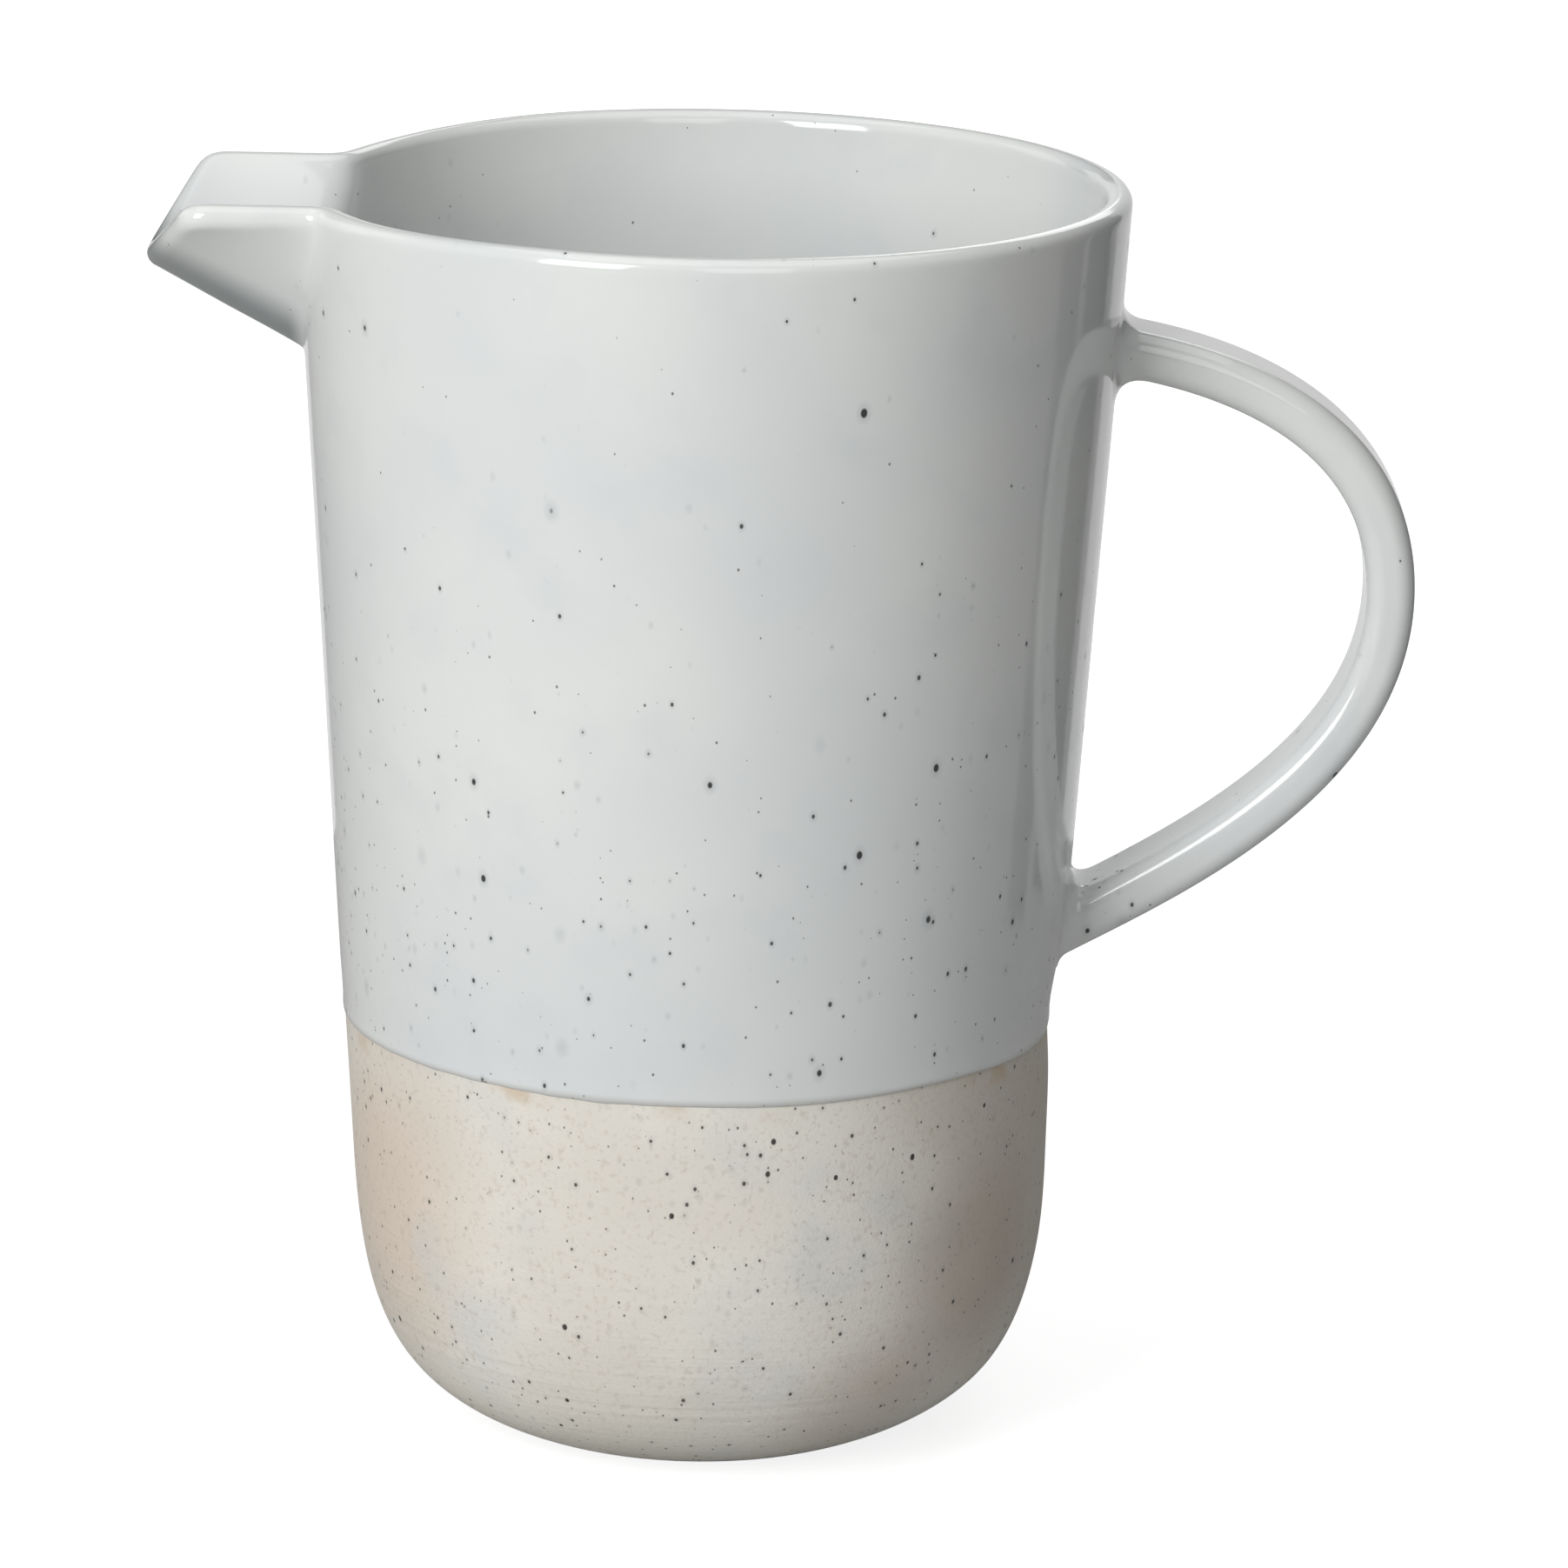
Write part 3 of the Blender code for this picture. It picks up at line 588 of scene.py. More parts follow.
heights = np.linspace(GLAZE_LINE + SKIRT, BASE_HEIGHT, 14)
wall_line = [(outer_radius(height) - CLAY_INSET, height) for height in heights]
bowl_line = [tuple(point) for point in base_line(CLAY_INSET, 44)]
soft_edge = []
for step in range(5):
    angle = math.pi / 2 * step / 4
    soft_edge.append((FOOT_RADIUS - FOOT_EDGE * (1 - math.cos(angle)), FOOT_EDGE * (1 - math.sin(angle))))
bowl_line = [point for point in bowl_line if point[1] > FOOT_EDGE]
under_line = [(radius * MM, 0.0) for radius in (25.0, 20.0, 14.0, 8.0, 3.0, 0.0)]
core_line = [(0.0, FLOOR_TOP / 2), (INSIDE_FLOOR_RADIUS, FLOOR_TOP / 2)]
core_line += [(outer_radius(BASE_HEIGHT) - BASE_WALL / 2 - 9 * MM, 14 * MM),
              (middle_radius(BASE_HEIGHT) - 1 * MM, 30 * MM),
              (middle_radius(BASE_HEIGHT), BASE_HEIGHT), (middle_radius(heights[0]), heights[0])]
profile = (wall_line + bowl_line + soft_edge + under_line + core_line + wall_line[:1])[::-1]
foot_line = line_object("bare_foot", [(radius, 0.0, height) for radius, height in profile])
foot = grown(foot_line, turning_tree(),
             {"Steps": 224, "Wobble": 0.3 * MM, "Seed": 3.0, "Finish": bare_clay})
spots = spots_of(foot.data)
facings = np.array([vertex.normal for vertex in foot.data.vertices])
flat = spots * FLAT / np.maximum(np.hypot(spots[:, 0], spots[:, 1]), 0.01 * MM)[:, None]
spots += flat * (hand_marks(spots) * ((facings * flat).sum(-1) > 0.1))[:, None]
foot.data.vertices.foreach_set("co", spots.ravel())
print("bare foot:", len(foot.data.polygons), "faces,", round(volume(foot.data)), "mm3")

# %% [markdown]
# ## The glazed vessel and its spout
#
# A potter folds a slab into a V, cuts the wall and lutes the V to it, then wipes the joint until wall and spout
# are one surface. The joint is the hard part: a Boolean would leave it sharp and its mesh uneven. So the middle
# of the wall is made first, as one grid of points whose columns run down from the lip. Round the rim they go
# straight down the wall. In front they start on the edge of the spout, run down its side to the line where it
# meets the wall, and go on down from there. Letting every point creep towards its neighbours for a while, as
# heat spreads, wipes the joint smooth. The two faces of the wall are that middle moved out and in.


# %% The V of the spout
def v_section(depth, share):
    """The middle line of the V at shares of its length from the top edge to the keel, as (sideways, down)."""
    cap = np.array((SPOUT_HALF_WIDTH, LIP_HALF))
    centre = np.array((0.0, depth - SPOUT_KEEL_RADIUS))
    reach = cap - centre
    lean = math.atan2(reach[0], -reach[1]) - math.asin(SPOUT_KEEL_RADIUS / np.linalg.norm(reach))
    sweep = math.pi / 2 - lean
    turn = sweep * (1 - (np.maximum(share, SPOUT_LEG) - SPOUT_LEG) / (1 - SPOUT_LEG))
    keel = centre + SPOUT_KEEL_RADIUS * np.stack((np.sin(turn), np.cos(turn)), -1)
    touch = centre + SPOUT_KEEL_RADIUS * np.array((math.sin(sweep), math.cos(sweep)))
    way = np.minimum(share / SPOUT_LEG, 1.0)[:, None]
    outwards = np.array((touch[1] - cap[1], cap[0] - touch[0])) / np.linalg.norm(touch - cap)
    side = cap + (touch - cap) * way + outwards * SPOUT_BELLY * depth * 4 * way * (1 - way)
    return np.where((share < SPOUT_LEG)[:, None], side, keel)


def keel_middle(distance):
    """The height of the middle of the wall along the keel, at a distance in front of the axis."""
    outside = SPOUT_KEEL_AT_WALL + (distance - RIM_RADIUS) * math.tan(SPOUT_KEEL_SLOPE)
    return outside + LIP_HALF / math.cos(SPOUT_KEEL_SLOPE)


SECTION_POINTS = 101
share = np.linspace(0.0, 1.0, SECTION_POINTS)
root = v_section(SPOUT_TOP - keel_middle(SPOUT_ROOT), share)
root_ring = np.stack((np.full(SECTION_POINTS, SPOUT_ROOT), root[:, 0], SPOUT_TOP - root[:, 1]), -1)
front = v_section(SPOUT_FRONT_DEPTH, share)
pull = np.stack((np.cos(share * SPOUT_KEEL_SLOPE), 0 * share, np.sin(share * SPOUT_KEEL_SLOPE)), -1) * LIP_HALF
front_ring = np.stack((SPOUT_CORNER + front[:, 1] * math.sin(SPOUT_RAKE), front[:, 0],
                       SPOUT_TOP - front[:, 1] * math.cos(SPOUT_RAKE)), -1) - pull
front_ring[:, 2] -= (1 - share) ** 2 * SPOUT_LIP_SAG


def spout_side(out, down):
    """Points on the middle of the spout's side, from shares of the way out and of the way down."""
    at_root, at_front = (np.stack([np.interp(down, share, line[:, axis]) for axis in range(3)], -1)
                         for line in (root_ring, front_ring))
    out = np.asarray(out)[..., None]
    return at_root * (1 - out) + at_front * out


print("front edge", round(1000 * float(travelled(front_ring)[-1]), 1), "mm a side")

# %% Where the spout meets the wall
ways = np.linspace(0.0, 1.0, 401)
meeting = []
for down in share:
    side = spout_side(ways, np.full_like(ways, down))
    outside = np.hypot(side[:, 0], side[:, 1]) - middle_radius(side[:, 2])
    meeting.append(np.interp(0.0, outside, ways))
meeting = np.array(meeting)
joint = spout_side(meeting, share)
print("the joint runs from", np.round(1000 * joint[0], 1), "to", np.round(1000 * joint[-1], 1))

# %% Columns from the lip down
SPOUT_COLUMNS = 50
WALL_COLUMNS = 100
ROWS = 66
BAND_END = 150.0 * MM
RIM_DIP_SPANS = (math.radians(16.0), math.radians(50.0))
RIM_DIP_WIDE = 1.1 * MM


def evenly(points, count):
    """Spreads a number of points evenly along a line of points."""
    steps = travelled(points)
    wanted = np.linspace(0.0, steps[-1], count)
    return np.stack([np.interp(wanted, steps, points[:, axis]) for axis in range(3)], -1)


def wall_column(bearing, heights):
    """Points on the middle of the wall at one bearing, at the given heights."""
    radii = middle_radius(heights)
    return np.stack((radii * math.cos(bearing), radii * math.sin(bearing), heights), -1)


top_edge = np.linalg.norm(front_ring[0] - joint[0])
front_edge = travelled(front_ring)[-1]
columns = []
for place in np.linspace(1.0, 0.0, SPOUT_COLUMNS + 1):
    along = place * (top_edge + front_edge)
    start_out = meeting[0] + (1 - meeting[0]) * min(along / top_edge, 1.0)
    start_down = max(along - top_edge, 0.0) / front_edge
    end_out = np.interp(place, share, meeting)
    way = np.linspace(0.0, 1.0, 60)
    side = spout_side(start_out + (end_out - start_out) * way, start_down + (place - start_down) * way)
    foot_of_side = side[-1]
    bearing = math.atan2(foot_of_side[1], foot_of_side[0])
    drop = np.linspace(foot_of_side[2], BAND_END, 40)[1:]
    columns.append(evenly(np.concatenate((side, wall_column(bearing, drop))), ROWS + 1))
joint_bearing = bearing
steps = np.minimum(np.linspace(0.6, 4.0, WALL_COLUMNS), 2.1)
bearings = joint_bearing + (math.pi - joint_bearing) * np.cumsum(steps) / steps.sum()
for bearing in bearings:
    near_dip, wide_dip = (1 - fade_in(bearing, joint_bearing, span) for span in RIM_DIP_SPANS)
    dip = (LIP_CENTRE - joint[0][2] - RIM_DIP_WIDE) * near_dip + RIM_DIP_WIDE * wide_dip
    columns.append(wall_column(bearing, np.linspace(LIP_CENTRE - dip, BAND_END, ROWS + 1)))
half = np.array(columns)
mirrored = half[-2:0:-1] * np.array((1.0, -1.0, 1.0))
middle = np.concatenate((half, mirrored))
column_bearing = np.arctan2(middle[:, -1, 1], middle[:, -1, 0])
print("grid of", middle.shape[0], "columns and", middle.shape[1], "rows")


# %% Wipe the joint smooth
def creep(points, axis_step):
    """Which way each point is pulled by its two neighbours in one direction of the grid."""
    if axis_step == "round":
        before, after = np.roll(points, 1, 0), np.roll(points, -1, 0)
    else:
        before, after = points[:, :-2], points[:, 2:]
        points = points[:, 1:-1]
    near, far = after - points, before - points
    near_length = np.linalg.norm(near, axis=-1, keepdims=True)
    far_length = np.linalg.norm(far, axis=-1, keepdims=True)
    return 2 * (near / near_length + far / far_length) / (near_length + far_length)


WIPE = 2.4 * MM * MM
WIPES = 160
PLAIN_WIPE = 0.24
JOINT_WIPE = 0.12
LIP_WIPE = 0.56
reach, height = middle[..., 0], middle[..., 2]
lift = fade_in(height, 166 * MM, 18 * MM)
near_wall = 1 - fade_in(reach, 64 * MM, 8 * MM)
in_front = 1 - fade_in(np.abs(np.arctan2(middle[..., 1], reach)), math.radians(34), math.radians(16))
above = fade_in(height, 152 * MM, 8 * MM)
softness = (PLAIN_WIPE + near_wall * (JOINT_WIPE + LIP_WIPE * lift)) * in_front * above
softness = softness[..., None] * WIPE / WIPES
for _ in range(WIPES):
    pulled = creep(middle, "round") * softness
    pulled[:, 1:-1] += creep(middle, "down") * softness[:, 1:-1]
    pulled[:, -1] = 0.0
    middle = middle + pulled
print("spout reaches", round(1000 * float(middle[:, 0, 0].max()), 2), "mm before its lip")


# %% Both faces of the wall, the lip, the inside and the edge of the glaze
def ring(radii, heights):
    """A ring of points at the columns' bearings."""
    heights = np.broadcast_to(heights, column_bearing.shape)
    return np.stack((radii * np.cos(column_bearing), radii * np.sin(column_bearing), heights), -1)


around = np.roll(middle, -1, 0) - np.roll(middle, 1, 0)
downward = np.gradient(middle, axis=1)
facing = unit(np.cross(around, -downward))
thick = half_wall(middle[..., 2])[..., None]
outer_face, inner_face = middle + facing * thick, middle - facing * thick
edge_out = unit(np.cross(unit(around[:, 0]), facing[:, 0]))
edge_out *= np.sign((edge_out * (middle[:, 0] - middle[:, 1])).sum(-1, keepdims=True))
LIP_STEPS = 12
lip_rings = []
for step in range(1, LIP_STEPS):
    angle = math.pi * step / LIP_STEPS
    lip_rings.append(middle[:, 0] + LIP_HALF * (facing[:, 0] * math.cos(angle) + edge_out * math.sin(angle)))

wave = np.array([noise.noise(Vector((2.2 * math.cos(b), 2.2 * math.sin(b), 5.0))) for b in column_bearing])
ripple = np.array([noise.noise(Vector((14 * math.cos(b), 14 * math.sin(b), 9.0))) for b in column_bearing])
edge_height = GLAZE_LINE + 0.5 * MM * wave + 0.12 * MM * ripple
GLAZE_EDGE = ((-0.40, 1.4), (-0.40, 0.10), (-0.22, 0.0), (-0.04, 0.06), (0.07, 0.26), (0.12, 0.65), (0.10, 1.2),
              (0.03, 2.2))
outer_rings = []
for out, up in GLAZE_EDGE:
    height = edge_height + up * MM
    outer_rings.append(ring(outer_radius(height) + out * MM, height))
for height in np.linspace(GLAZE_LINE + 4.5 * MM, BAND_END - 3 * MM, 26):
    outer_rings.append(ring(outer_radius(height), height))

FLOOR_DISH = 0.6 * MM
inner_rings = []
for height in np.linspace(BAND_END - 3 * MM, BASE_HEIGHT, 30):
    inner_rings.append(ring(outer_radius(height) - 2 * half_wall(height), height))
for radius, height in inside_base_line(26):
    inner_rings.append(ring(radius, height))
for part in (0.92, 0.84, 0.75, 0.66, 0.56, 0.46, 0.36, 0.26, 0.16, 0.07, 0.0):
    inner_rings.append(ring(part * INSIDE_FLOOR_RADIUS, FLOOR_TOP - FLOOR_DISH * (1 - part ** 2) ** 2))

CORE_GAP = 0.3 * MM
core_rings = [ring(0.0, FLOOR_TOP / 2 + CORE_GAP)]
for radius, height in core_line[1:]:
    core_rings.append(ring(radius - CORE_GAP, height + (CORE_GAP if height < 30 * MM else 0.0)))

rings = core_rings + outer_rings + list(outer_face[:, ::-1].swapaxes(0, 1)) + lip_rings
rings += list(inner_face.swapaxes(0, 1)) + inner_rings
rings.append(ring(0.0, FLOOR_TOP / 2 + CORE_GAP))
body = np.array(rings)
print("vessel:", body.shape[0], "rings of", body.shape[1])


# %% Slight unevenness of a hand-thrown wall
def unevenness(points, size, amount, shift):
    """Soft noise in metres for each point."""
    flat = points.reshape(-1, 3) / size
    values = [noise.noise(Vector((spot[0] + shift, spot[1], 0.6 * spot[2]))) for spot in flat]
    return np.array(values).reshape(points.shape[:-1]) * amount


def wall_push(points):
    """How far the glazed wall stands out from its plain turned form."""
    return unevenness(points, 42 * MM, 0.22 * MM, 7.0) * fade_in(points[..., 2], GLAZE_LINE + 1 * MM, 8 * MM)


plain = body * np.array((-1.0, 1.0, 1.0))
outwards = unit(plain * FLAT + np.array((1e-9, 0.0, 0.0)))
order = np.arange(len(rings))[:, None]
outside = (order >= len(core_rings)) & (order < len(core_rings) + len(outer_rings) + ROWS + 1)
push = wall_push(plain) + hand_marks(plain) * outside
body = plain + outwards * push[..., None]
print("unevenness from", round(1000 * float(push.min()), 2), "to", round(1000 * float(push.max()), 2), "mm")


# %% Make the vessel's mesh
def grid_object(name, rings, material):
    """A tube of rings as one mesh. Rings that have shrunk to a point become one vertex."""
    count, around_count = rings.shape[:2]
    faces = []
    for row in range(count - 1):
        for column in range(around_count):
            after = (column + 1) % around_count
            faces.append((row * around_count + column, row * around_count + after,
                          (row + 1) * around_count + after, (row + 1) * around_count + column))
    mesh = bpy.data.meshes.new(name)
    mesh.from_pydata(rings.reshape(-1, 3).tolist(), [], faces)
    work = bmesh.new()
    work.from_mesh(mesh)
    bmesh.ops.remove_doubles(work, verts=work.verts, dist=0.001 * MM)
    bmesh.ops.recalc_face_normals(work, faces=work.faces)
    work.to_mesh(mesh)
    work.free()
    mesh.shade_smooth()
    mesh.materials.append(material)
    obj = bpy.data.objects.new(name, mesh)
    bpy.context.scene.collection.objects.link(obj)
    return obj


vessel = grid_object("glazed_vessel", body, glaze)
print("glazed vessel:", len(vessel.data.polygons), "faces,", round(volume(vessel.data)), "mm3")

# %% [markdown]
# ## The strap handle
#
# The handle is a pulled or rolled strap of clay, 14 mm wide and 7 mm thick, bent into a bow. It follows a path,
# so a Geometry Nodes tree sweeps a rectangle with round corners along one. The path is drawn from the tilt of
# the strap where it leaves the wall, the farthest point of the bow and the tilt where it comes back. The strap
# swells a little towards its lower end.


# %% A tree that sweeps a strap along a path
def strap_tree():
    """Inputs: the path as a mesh, the strap's width, thickness and corner radius, and its swell."""
    tree, given = start_tree("strap_along_a_path", "Path", (
        ("Width", "Float", 0.014), ("Thickness", "Float", 0.0073), ("Corner", "Float", 0.0018),
        ("Swell", "Float", 0.1), ("Rings", "Int", 220), ("Around", "Int", 96)), "Strap")
    raw = add(tree, "GeometryNodeMeshToCurve", None, Mesh=given["Path"]).outputs[0]
    even = add(tree, "GeometryNodeResampleCurve", {"mode": "COUNT"}, Curve=raw, Count=given["Rings"]).outputs[0]
    sideways = add(tree, "GeometryNodeSetCurveNormal", {"mode": "FREE"}, Curve=even,
                   Normal=(0.0, 1.0, 0.0)).outputs[0]
    capture = tree.nodes.new("GeometryNodeCaptureAttribute")
    capture.domain = "POINT"
    capture.capture_items.new("VECTOR", "Middle")
    capture.capture_items.new("FLOAT", "Along")
    tree.links.new(sideways, capture.inputs["Geometry"])
    tree.links.new(add(tree, "GeometryNodeInputPosition").outputs[0], capture.inputs["Middle"])
    tree.links.new(add(tree, "GeometryNodeSplineParameter").outputs["Factor"], capture.inputs["Along"])
    block = add(tree, "GeometryNodeCurvePrimitiveQuadrilateral", None, Width=given["Width"],
                Height=given["Thickness"]).outputs[0]
    rounded = add(tree, "GeometryNodeFilletCurve", {"mode": "POLY"}, Curve=block, Count=12,
                  Radius=given["Corner"]).outputs[0]
    section = add(tree, "GeometryNodeResampleCurve", {"mode": "COUNT"}, Curve=rounded,
                  Count=given["Around"]).outputs[0]
    swept = add(tree, "GeometryNodeCurveToMesh", None, Curve=capture.outputs["Geometry"], Profile_Curve=section)
    here = add(tree, "GeometryNodeInputPosition").outputs[0]
    offset = add(tree, "ShaderNodeVectorMath", "SUBTRACT", i0=here, i1=capture.outputs["Middle"]).outputs[0]
    late = add(tree, "ShaderNodeMapRange", SOFT, Value=capture.outputs["Along"], From_Min=0.45,
               From_Max=0.95).outputs[0]
    swell = add(tree, "ShaderNodeMath", "MULTIPLY_ADD", i0=late, i1=given["Swell"], i2=1.0).outputs[0]
    wide = add(tree, "ShaderNodeVectorMath", "SCALE", i0=offset, Scale=swell).outputs[0]
    place = add(tree, "ShaderNodeVectorMath", "ADD", i0=capture.outputs["Middle"], i1=wide).outputs[0]
    strap = add(tree, "GeometryNodeSetPosition", None, Geometry=swept.outputs[0], Position=place).outputs[0]
    end_tree(tree, strap, given, "Strap")
    return tree


print("tree for the strap ready")

# %% Sweep the strap
OVERRUN = 12.0 * MM
RINGS = 230
AROUND = 96


def aim(tilt):
    """A direction in the handle's plane, tilted up from +X."""
    return np.array((math.cos(tilt), 0.0, math.sin(tilt)))


top = np.array((outer_radius(HANDLE_TOP), 0.0, HANDLE_TOP))
bow = np.array((HANDLE_BOW, 0.0, HANDLE_BOW_HEIGHT))
bottom = np.array((outer_radius(HANDLE_BOTTOM), 0.0, HANDLE_BOTTOM))
out_top, out_bottom = aim(HANDLE_TILTS[0]), aim(HANDLE_TILTS[1])
upper_bow = curve_points(top, top + out_top * HANDLE_PULLS[0], bow + UP * HANDLE_PULLS[1], bow, 80)
lower_bow = curve_points(bow, bow - UP * HANDLE_PULLS[2], bottom + out_bottom * HANDLE_PULLS[3], bottom, 80)
path = np.concatenate(([top - out_top * OVERRUN, top], upper_bow, lower_bow, [bottom - out_bottom * OVERRUN]))
strap = grown(line_object("strap_handle", path), strap_tree(),
              {"Width": HANDLE_WIDTH, "Thickness": HANDLE_THICKNESS, "Corner": HANDLE_CORNER, "Swell": 0.05,
               "Rings": RINGS, "Around": AROUND, "Finish": glaze})
swept = spots_of(strap.data)
print("swept strap:", len(swept), "points, box", np.round(1000 * (swept.max(0) - swept.min(0)), 1), "mm")

# %% [markdown]
# The strap still runs into the wall. A potter presses the end on and draws a soft fillet of clay out over the
# wall with a finger. Each line along the strap gets the same treatment here: where it meets the wall it is bent
# into a curve that leaves along the wall's own surface, and its very end dips just under the glaze, so that no
# edge shows.


# %% Seat both ends on the wall
FILLET_STEPS = 9
BRIDGE_STEPS = 6


def wall_radius(points):
    """The radius of the glazed wall beside each point."""
    return outer_radius(points[..., 2]) + wall_push(points) + hand_marks(points)


def above_wall(points):
    """How far points stand off the glazed wall."""
    return np.hypot(points[..., 0], points[..., 1]) - wall_radius(points)


def on_wall(points, lift):
    """Moves points in or out until they stand a given distance off the wall."""
    return unit(points * FLAT) * (wall_radius(points)[..., None] + lift) + points * UP


def seated_end(rings, fillet_radius):
    """New rings for one end, from under the wall out to the first ring that is left as it was."""
    stand = above_wall(rings)
    lines, starts = [], []
    for column in range(rings.shape[1]):
        inside = int(np.argmax(stand[:, column] > 0))
        part = stand[inside - 1, column] / (stand[inside - 1, column] - stand[inside, column])
        spot = rings[inside - 1, column] + part * (rings[inside, column] - rings[inside - 1, column])
        starts.append(spot)
        lines.append(np.concatenate(([spot], rings[inside:, column])))
    starts = np.array(starts)
    wall_facing = unit(unit(starts * FLAT) - WALL_LEAN * UP)
    along_joint = unit(np.roll(starts, -1, 0) - np.roll(starts, 1, 0))
    spread = np.cross(along_joint, wall_facing)
    spread *= np.sign((spread * (starts - starts.mean(0))).sum(-1, keepdims=True))
    leave = unit(np.array([line[3] - line[0] for line in lines]))
    opening = np.arccos(np.clip((leave * spread).sum(-1), -1, 1))
    length = fillet_radius / np.tan(opening / 2)
    ways = [travelled(line) for line in lines]
    left_out = [len(rings) - len(line) for line in lines]
    keep = 1 + max(missing + 1 + int(np.searchsorted(way[1:], 1.25 * needed))
                   for missing, way, needed in zip(left_out, ways, length))
    fillet, bridge = [], []
    for column, line in enumerate(lines):
        end = ways[column][keep - left_out[column] - 1]
        stations = np.linspace(length[column], end, BRIDGE_STEPS + 1)
        on_line = np.stack([np.interp(stations, ways[column], line[:, axis]) for axis in range(3)], -1)
        landing = starts[column] + spread[column] * length[column]
        t = np.linspace(0.0, 1.0, FILLET_STEPS + 1)[:-1, None]
        fillet.append((1 - t) ** 2 * landing + 2 * t * (1 - t) * starts[column] + t * t * on_line[0])
        bridge.append(on_line[:-1])
    fillet = np.array(fillet).swapaxes(0, 1)
    bridge = np.array(bridge).swapaxes(0, 1)
    fillet[0] = on_wall(fillet[0], -0.02 * MM)
    hidden = [on_wall(starts + spread * (length[:, None] + more * MM), -deep * MM)
              for more, deep in ((0.6, 1.6), (1.0, 0.9), (1.2, 0.25), (0.7, 0.08))]
    pole = np.broadcast_to(on_wall(starts, -1.7 * MM).mean(0), starts.shape)
    return np.concatenate(([pole], hidden, fillet, bridge)), keep


grid = swept.reshape(RINGS, AROUND, 3)
top_rings, top_keep = seated_end(grid, HANDLE_FILLETS[0])
bottom_rings, bottom_keep = seated_end(grid[::-1], HANDLE_FILLETS[1])
handle_rings = np.concatenate((top_rings, grid[top_keep:RINGS - bottom_keep], bottom_rings[::-1]))
off_wall = fade_in(above_wall(handle_rings), 0.0, 6 * MM)
handle_push = unevenness(handle_rings, 30 * MM, 0.12 * MM, 21.0) * off_wall
handle_rings[..., 1] *= 1 + handle_push / (7 * MM)
bpy.data.objects.remove(strap)
handle = grid_object("strap_handle", handle_rings, glaze)
print("handle:", len(handle.data.polygons), "faces,", round(volume(handle.data)), "mm3")

# %% [markdown]
# ## Floor and light
#
# The pitcher stands on a pale table. Five large soft panels light it: a key from the front left and a weak
# fill from the front, which model the cylinder and leave its right side darker, one behind each side, and a
# broad one overhead. A glossy glaze also shows what stands round it, so two black cards at the right give it
# the dark upright bands that a potter's glaze shows in a studio, and white cards behind them give it its
# bright edges. Only reflections see the cards. The camera sees white paper over the table and a white
# backdrop, which glow a little so that they stay white.


# %% Soft panels
def around_pitcher(azimuth, elevation, distance):
    """A place seen from the pitcher: azimuth from the camera's side towards +X, and elevation, in degrees."""
    turn, rise = math.radians(azimuth), math.radians(elevation)
    level = distance * math.cos(rise)
    return Vector((level * math.sin(turn), -level * math.cos(turn), distance * math.sin(rise)))


def soft_light(name, azimuth, elevation, distance, size, power):
    """A rectangular soft panel that faces the middle of the pitcher."""
    light = bpy.data.lights.new(name, "AREA")
    light.shape = "RECTANGLE"
    light.size, light.size_y = size
    light.energy = power
    panel = bpy.data.objects.new(name, light)
    towards = around_pitcher(azimuth, elevation, distance)
    panel.location = towards + Vector((0.0, 0.0, 0.1))
    panel.rotation_euler = (-towards).to_track_quat("-Z", "Y").to_euler()
    bpy.context.scene.collection.objects.link(panel)


PANELS = (
    ("left_key", -35, 24, 1.5, (0.6, 0.9), 16.1),
    ("front_fill", 10, 24, 1.5, (0.6, 0.9), 3.1),
    ("left_edge", -120, 24, 1.5, (0.6, 0.9), 1.4),
    ("back_edge", 165, 24, 1.5, (0.6, 0.9), 4.1),
    ("overhead", 0, 89.9, 1.9, (2.0, 2.0), 17.9),
)
for settings in PANELS:
    soft_light(*settings)
print("panels:", [settings[0] for settings in PANELS])


# %% Table, paper, backdrop and cards
def stage_material(name, colour, glow=0.0):
    """A matt surface for the stage, which may glow a little."""
    material = bpy.data.materials.new(name)
    material.use_nodes = True
    shader = material.node_tree.nodes["Principled BSDF"]
    for socket, value in (("Base Color", linear(colour)), ("Roughness", 0.9), ("Specular IOR Level", 0.0),
                          ("Emission Color", linear("#FFFFFF")), ("Emission Strength", glow)):
        shader.inputs[socket].default_value = value
    return material


def stage_piece(obj, name, material, seen_by):
    """Names a stage object, gives it its material, and says which kinds of ray see it."""
    obj.name = name
    obj.data.materials.append(material)
    for kind in ("camera", "diffuse", "glossy", "transmission", "volume_scatter", "shadow"):
        setattr(obj, "visible_" + kind, kind in seen_by)


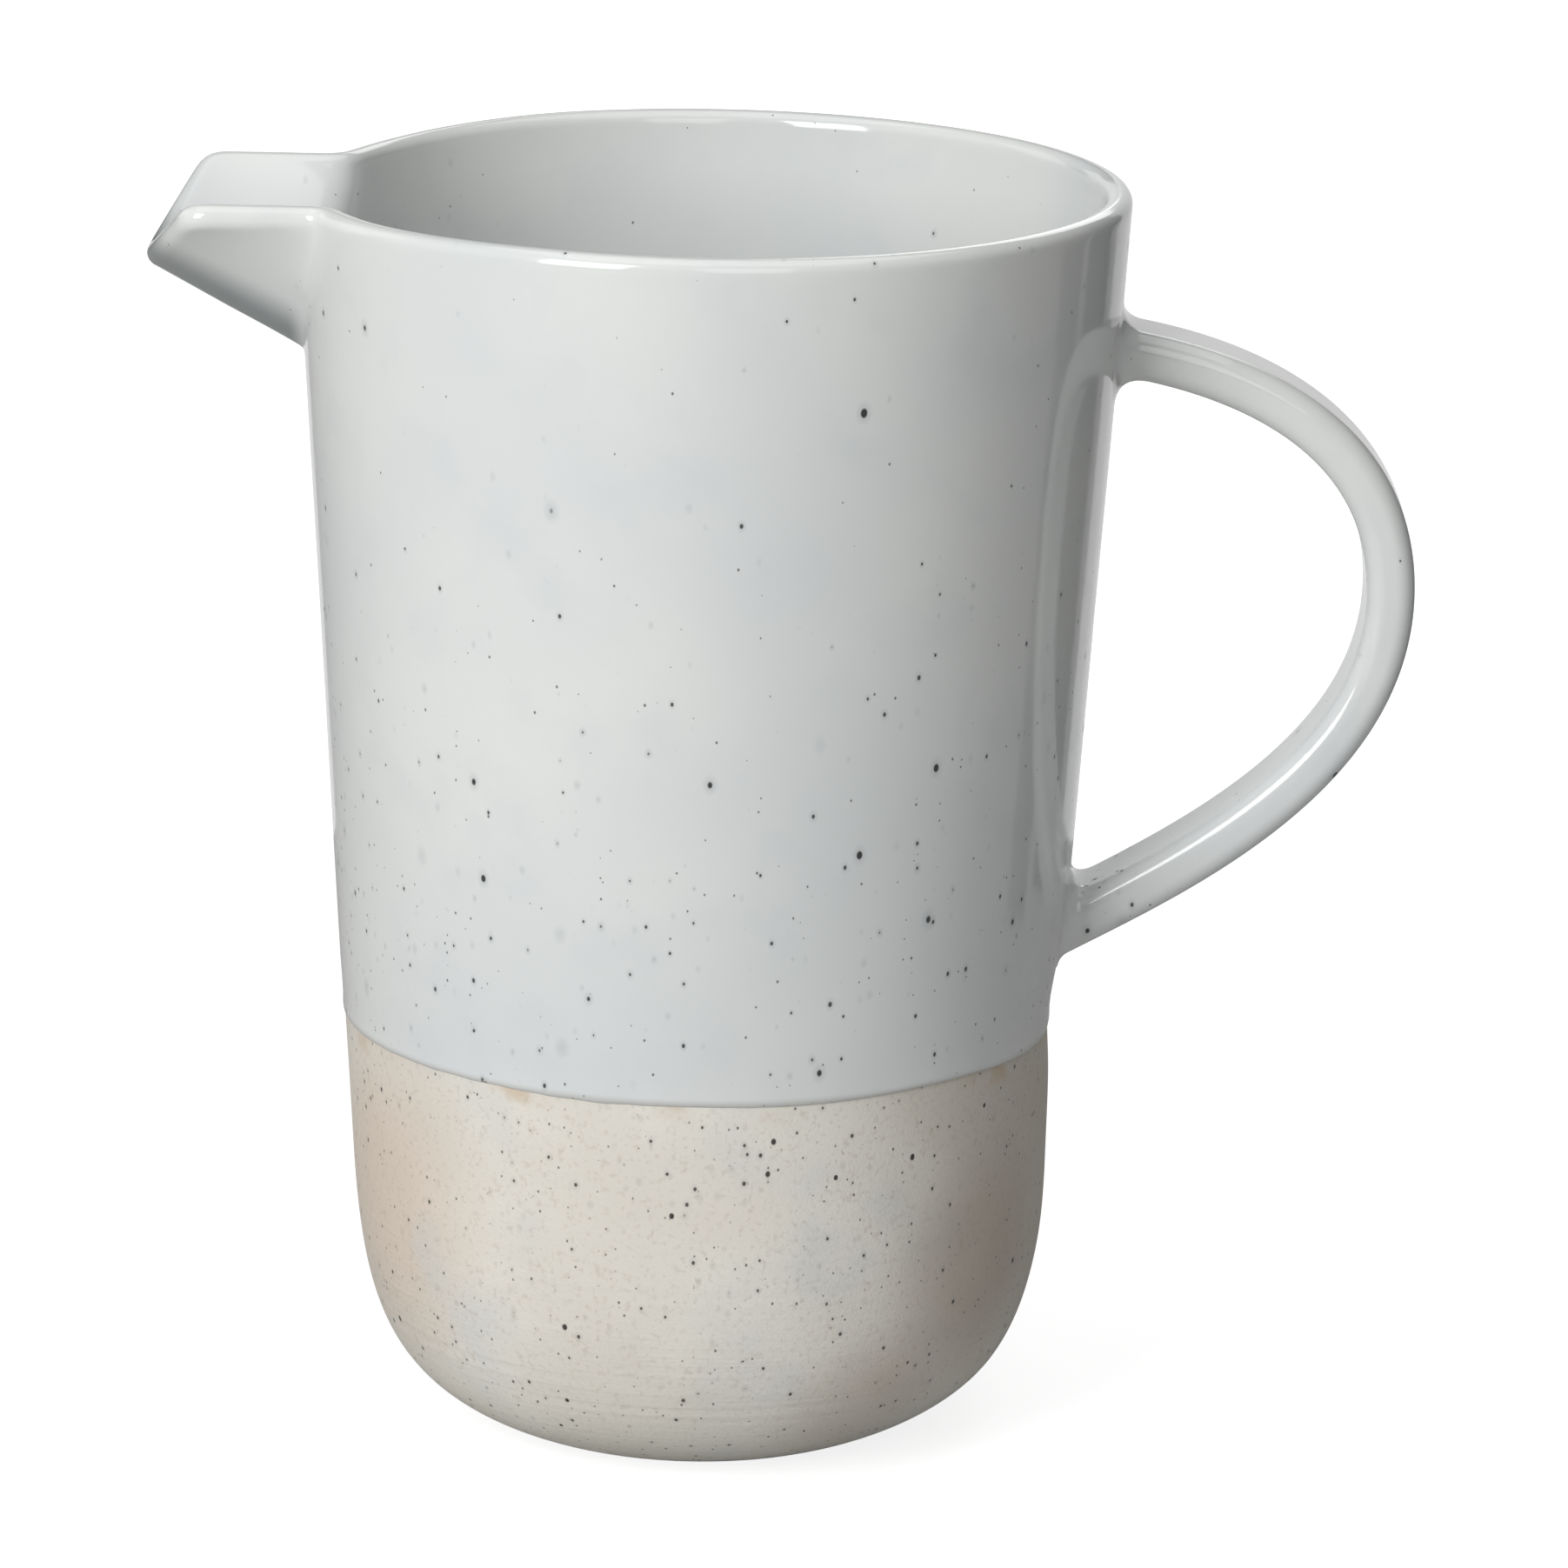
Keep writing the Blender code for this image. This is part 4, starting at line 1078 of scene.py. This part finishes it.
bpy.ops.mesh.primitive_plane_add(size=12.0)
stage_piece(bpy.context.object, "studio_floor", stage_material("pale_studio_table", "#BCBCBC"),
            ("diffuse", "glossy", "transmission"))
bpy.ops.mesh.primitive_plane_add(size=12.0, location=(0.0, 0.0, 0.02 * MM))
paper = stage_material("glowing_white_paper", "#A0A0A0")
nodes = paper.node_tree
paper_point = add(nodes, "ShaderNodeTexCoord").outputs["Object"]
away = add(nodes, "ShaderNodeVectorMath", "LENGTH", i0=paper_point).outputs["Value"]
glow = add(nodes, "ShaderNodeMapRange", SOFT, Value=away, From_Min=0.12, From_Max=0.9, To_Min=0.84, To_Max=1.05)
nodes.links.new(glow.outputs[0], nodes.nodes["Principled BSDF"].inputs["Emission Strength"])
stage_piece(bpy.context.object, "paper_sheet", paper, ("camera",))
bpy.ops.mesh.primitive_uv_sphere_add(segments=48, ring_count=24, radius=5.9)
stage_piece(bpy.context.object, "white_backdrop", stage_material("glowing_white_backdrop", "#000000", 1.05),
            ("camera",))

black, white = stage_material("black_card", "#040404"), stage_material("white_card", "#000000", 0.8)
CARDS = (
    ("near_black_card", 108.0, 0.28, 0.050, black),
    ("far_black_card", 124.5, 0.30, 0.080, black),
    ("right_white_card", 151.0, 0.34, 0.150, white),
    ("left_white_card", -161.0, 0.34, 0.110, white),
    ("back_white_card", 180.0, 0.50, 0.420, white),
)
for name, azimuth, distance, width, finish in CARDS:
    bpy.ops.mesh.primitive_plane_add(size=1.0)
    card = bpy.context.object
    upright = Matrix.Rotation(math.radians(azimuth), 4, "Z") @ Matrix.Rotation(math.pi / 2, 4, "X")
    place = Matrix.Translation(around_pitcher(azimuth, 0, distance) + Vector((0.0, 0.0, 0.15)))
    card.data.transform(place @ upright @ Matrix.Diagonal((width, 0.3, 1.0, 1.0)))
    stage_piece(card, name, finish, ("glossy",))

world = bpy.data.worlds.new("studio")
world.use_nodes = True
bpy.context.scene.world = world
world.node_tree.nodes["Background"].inputs["Color"].default_value = linear("#FFFFFF")
world.node_tree.nodes["Background"].inputs["Strength"].default_value = 0.02
bpy.context.scene.view_settings.view_transform = "Standard"

# %% [markdown]
# ## Hand over
#
# Each surface rides on the one body, and the imported solids that it stands for are hidden.

# %% Hand the pieces over
for piece, finish, solids in (
    (foot, "bare_stoneware", ["body"]),
    (vessel, "grey_white_glaze", ["outer_glaze", "liner_glaze", "spout", "spout_glaze", "spout_slip"]),
    (handle, "grey_white_glaze", ["handle", "handle_glaze", "handle_top_slip", "handle_bottom_slip"]),
):
    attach(piece, "root")
    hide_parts(*solids)
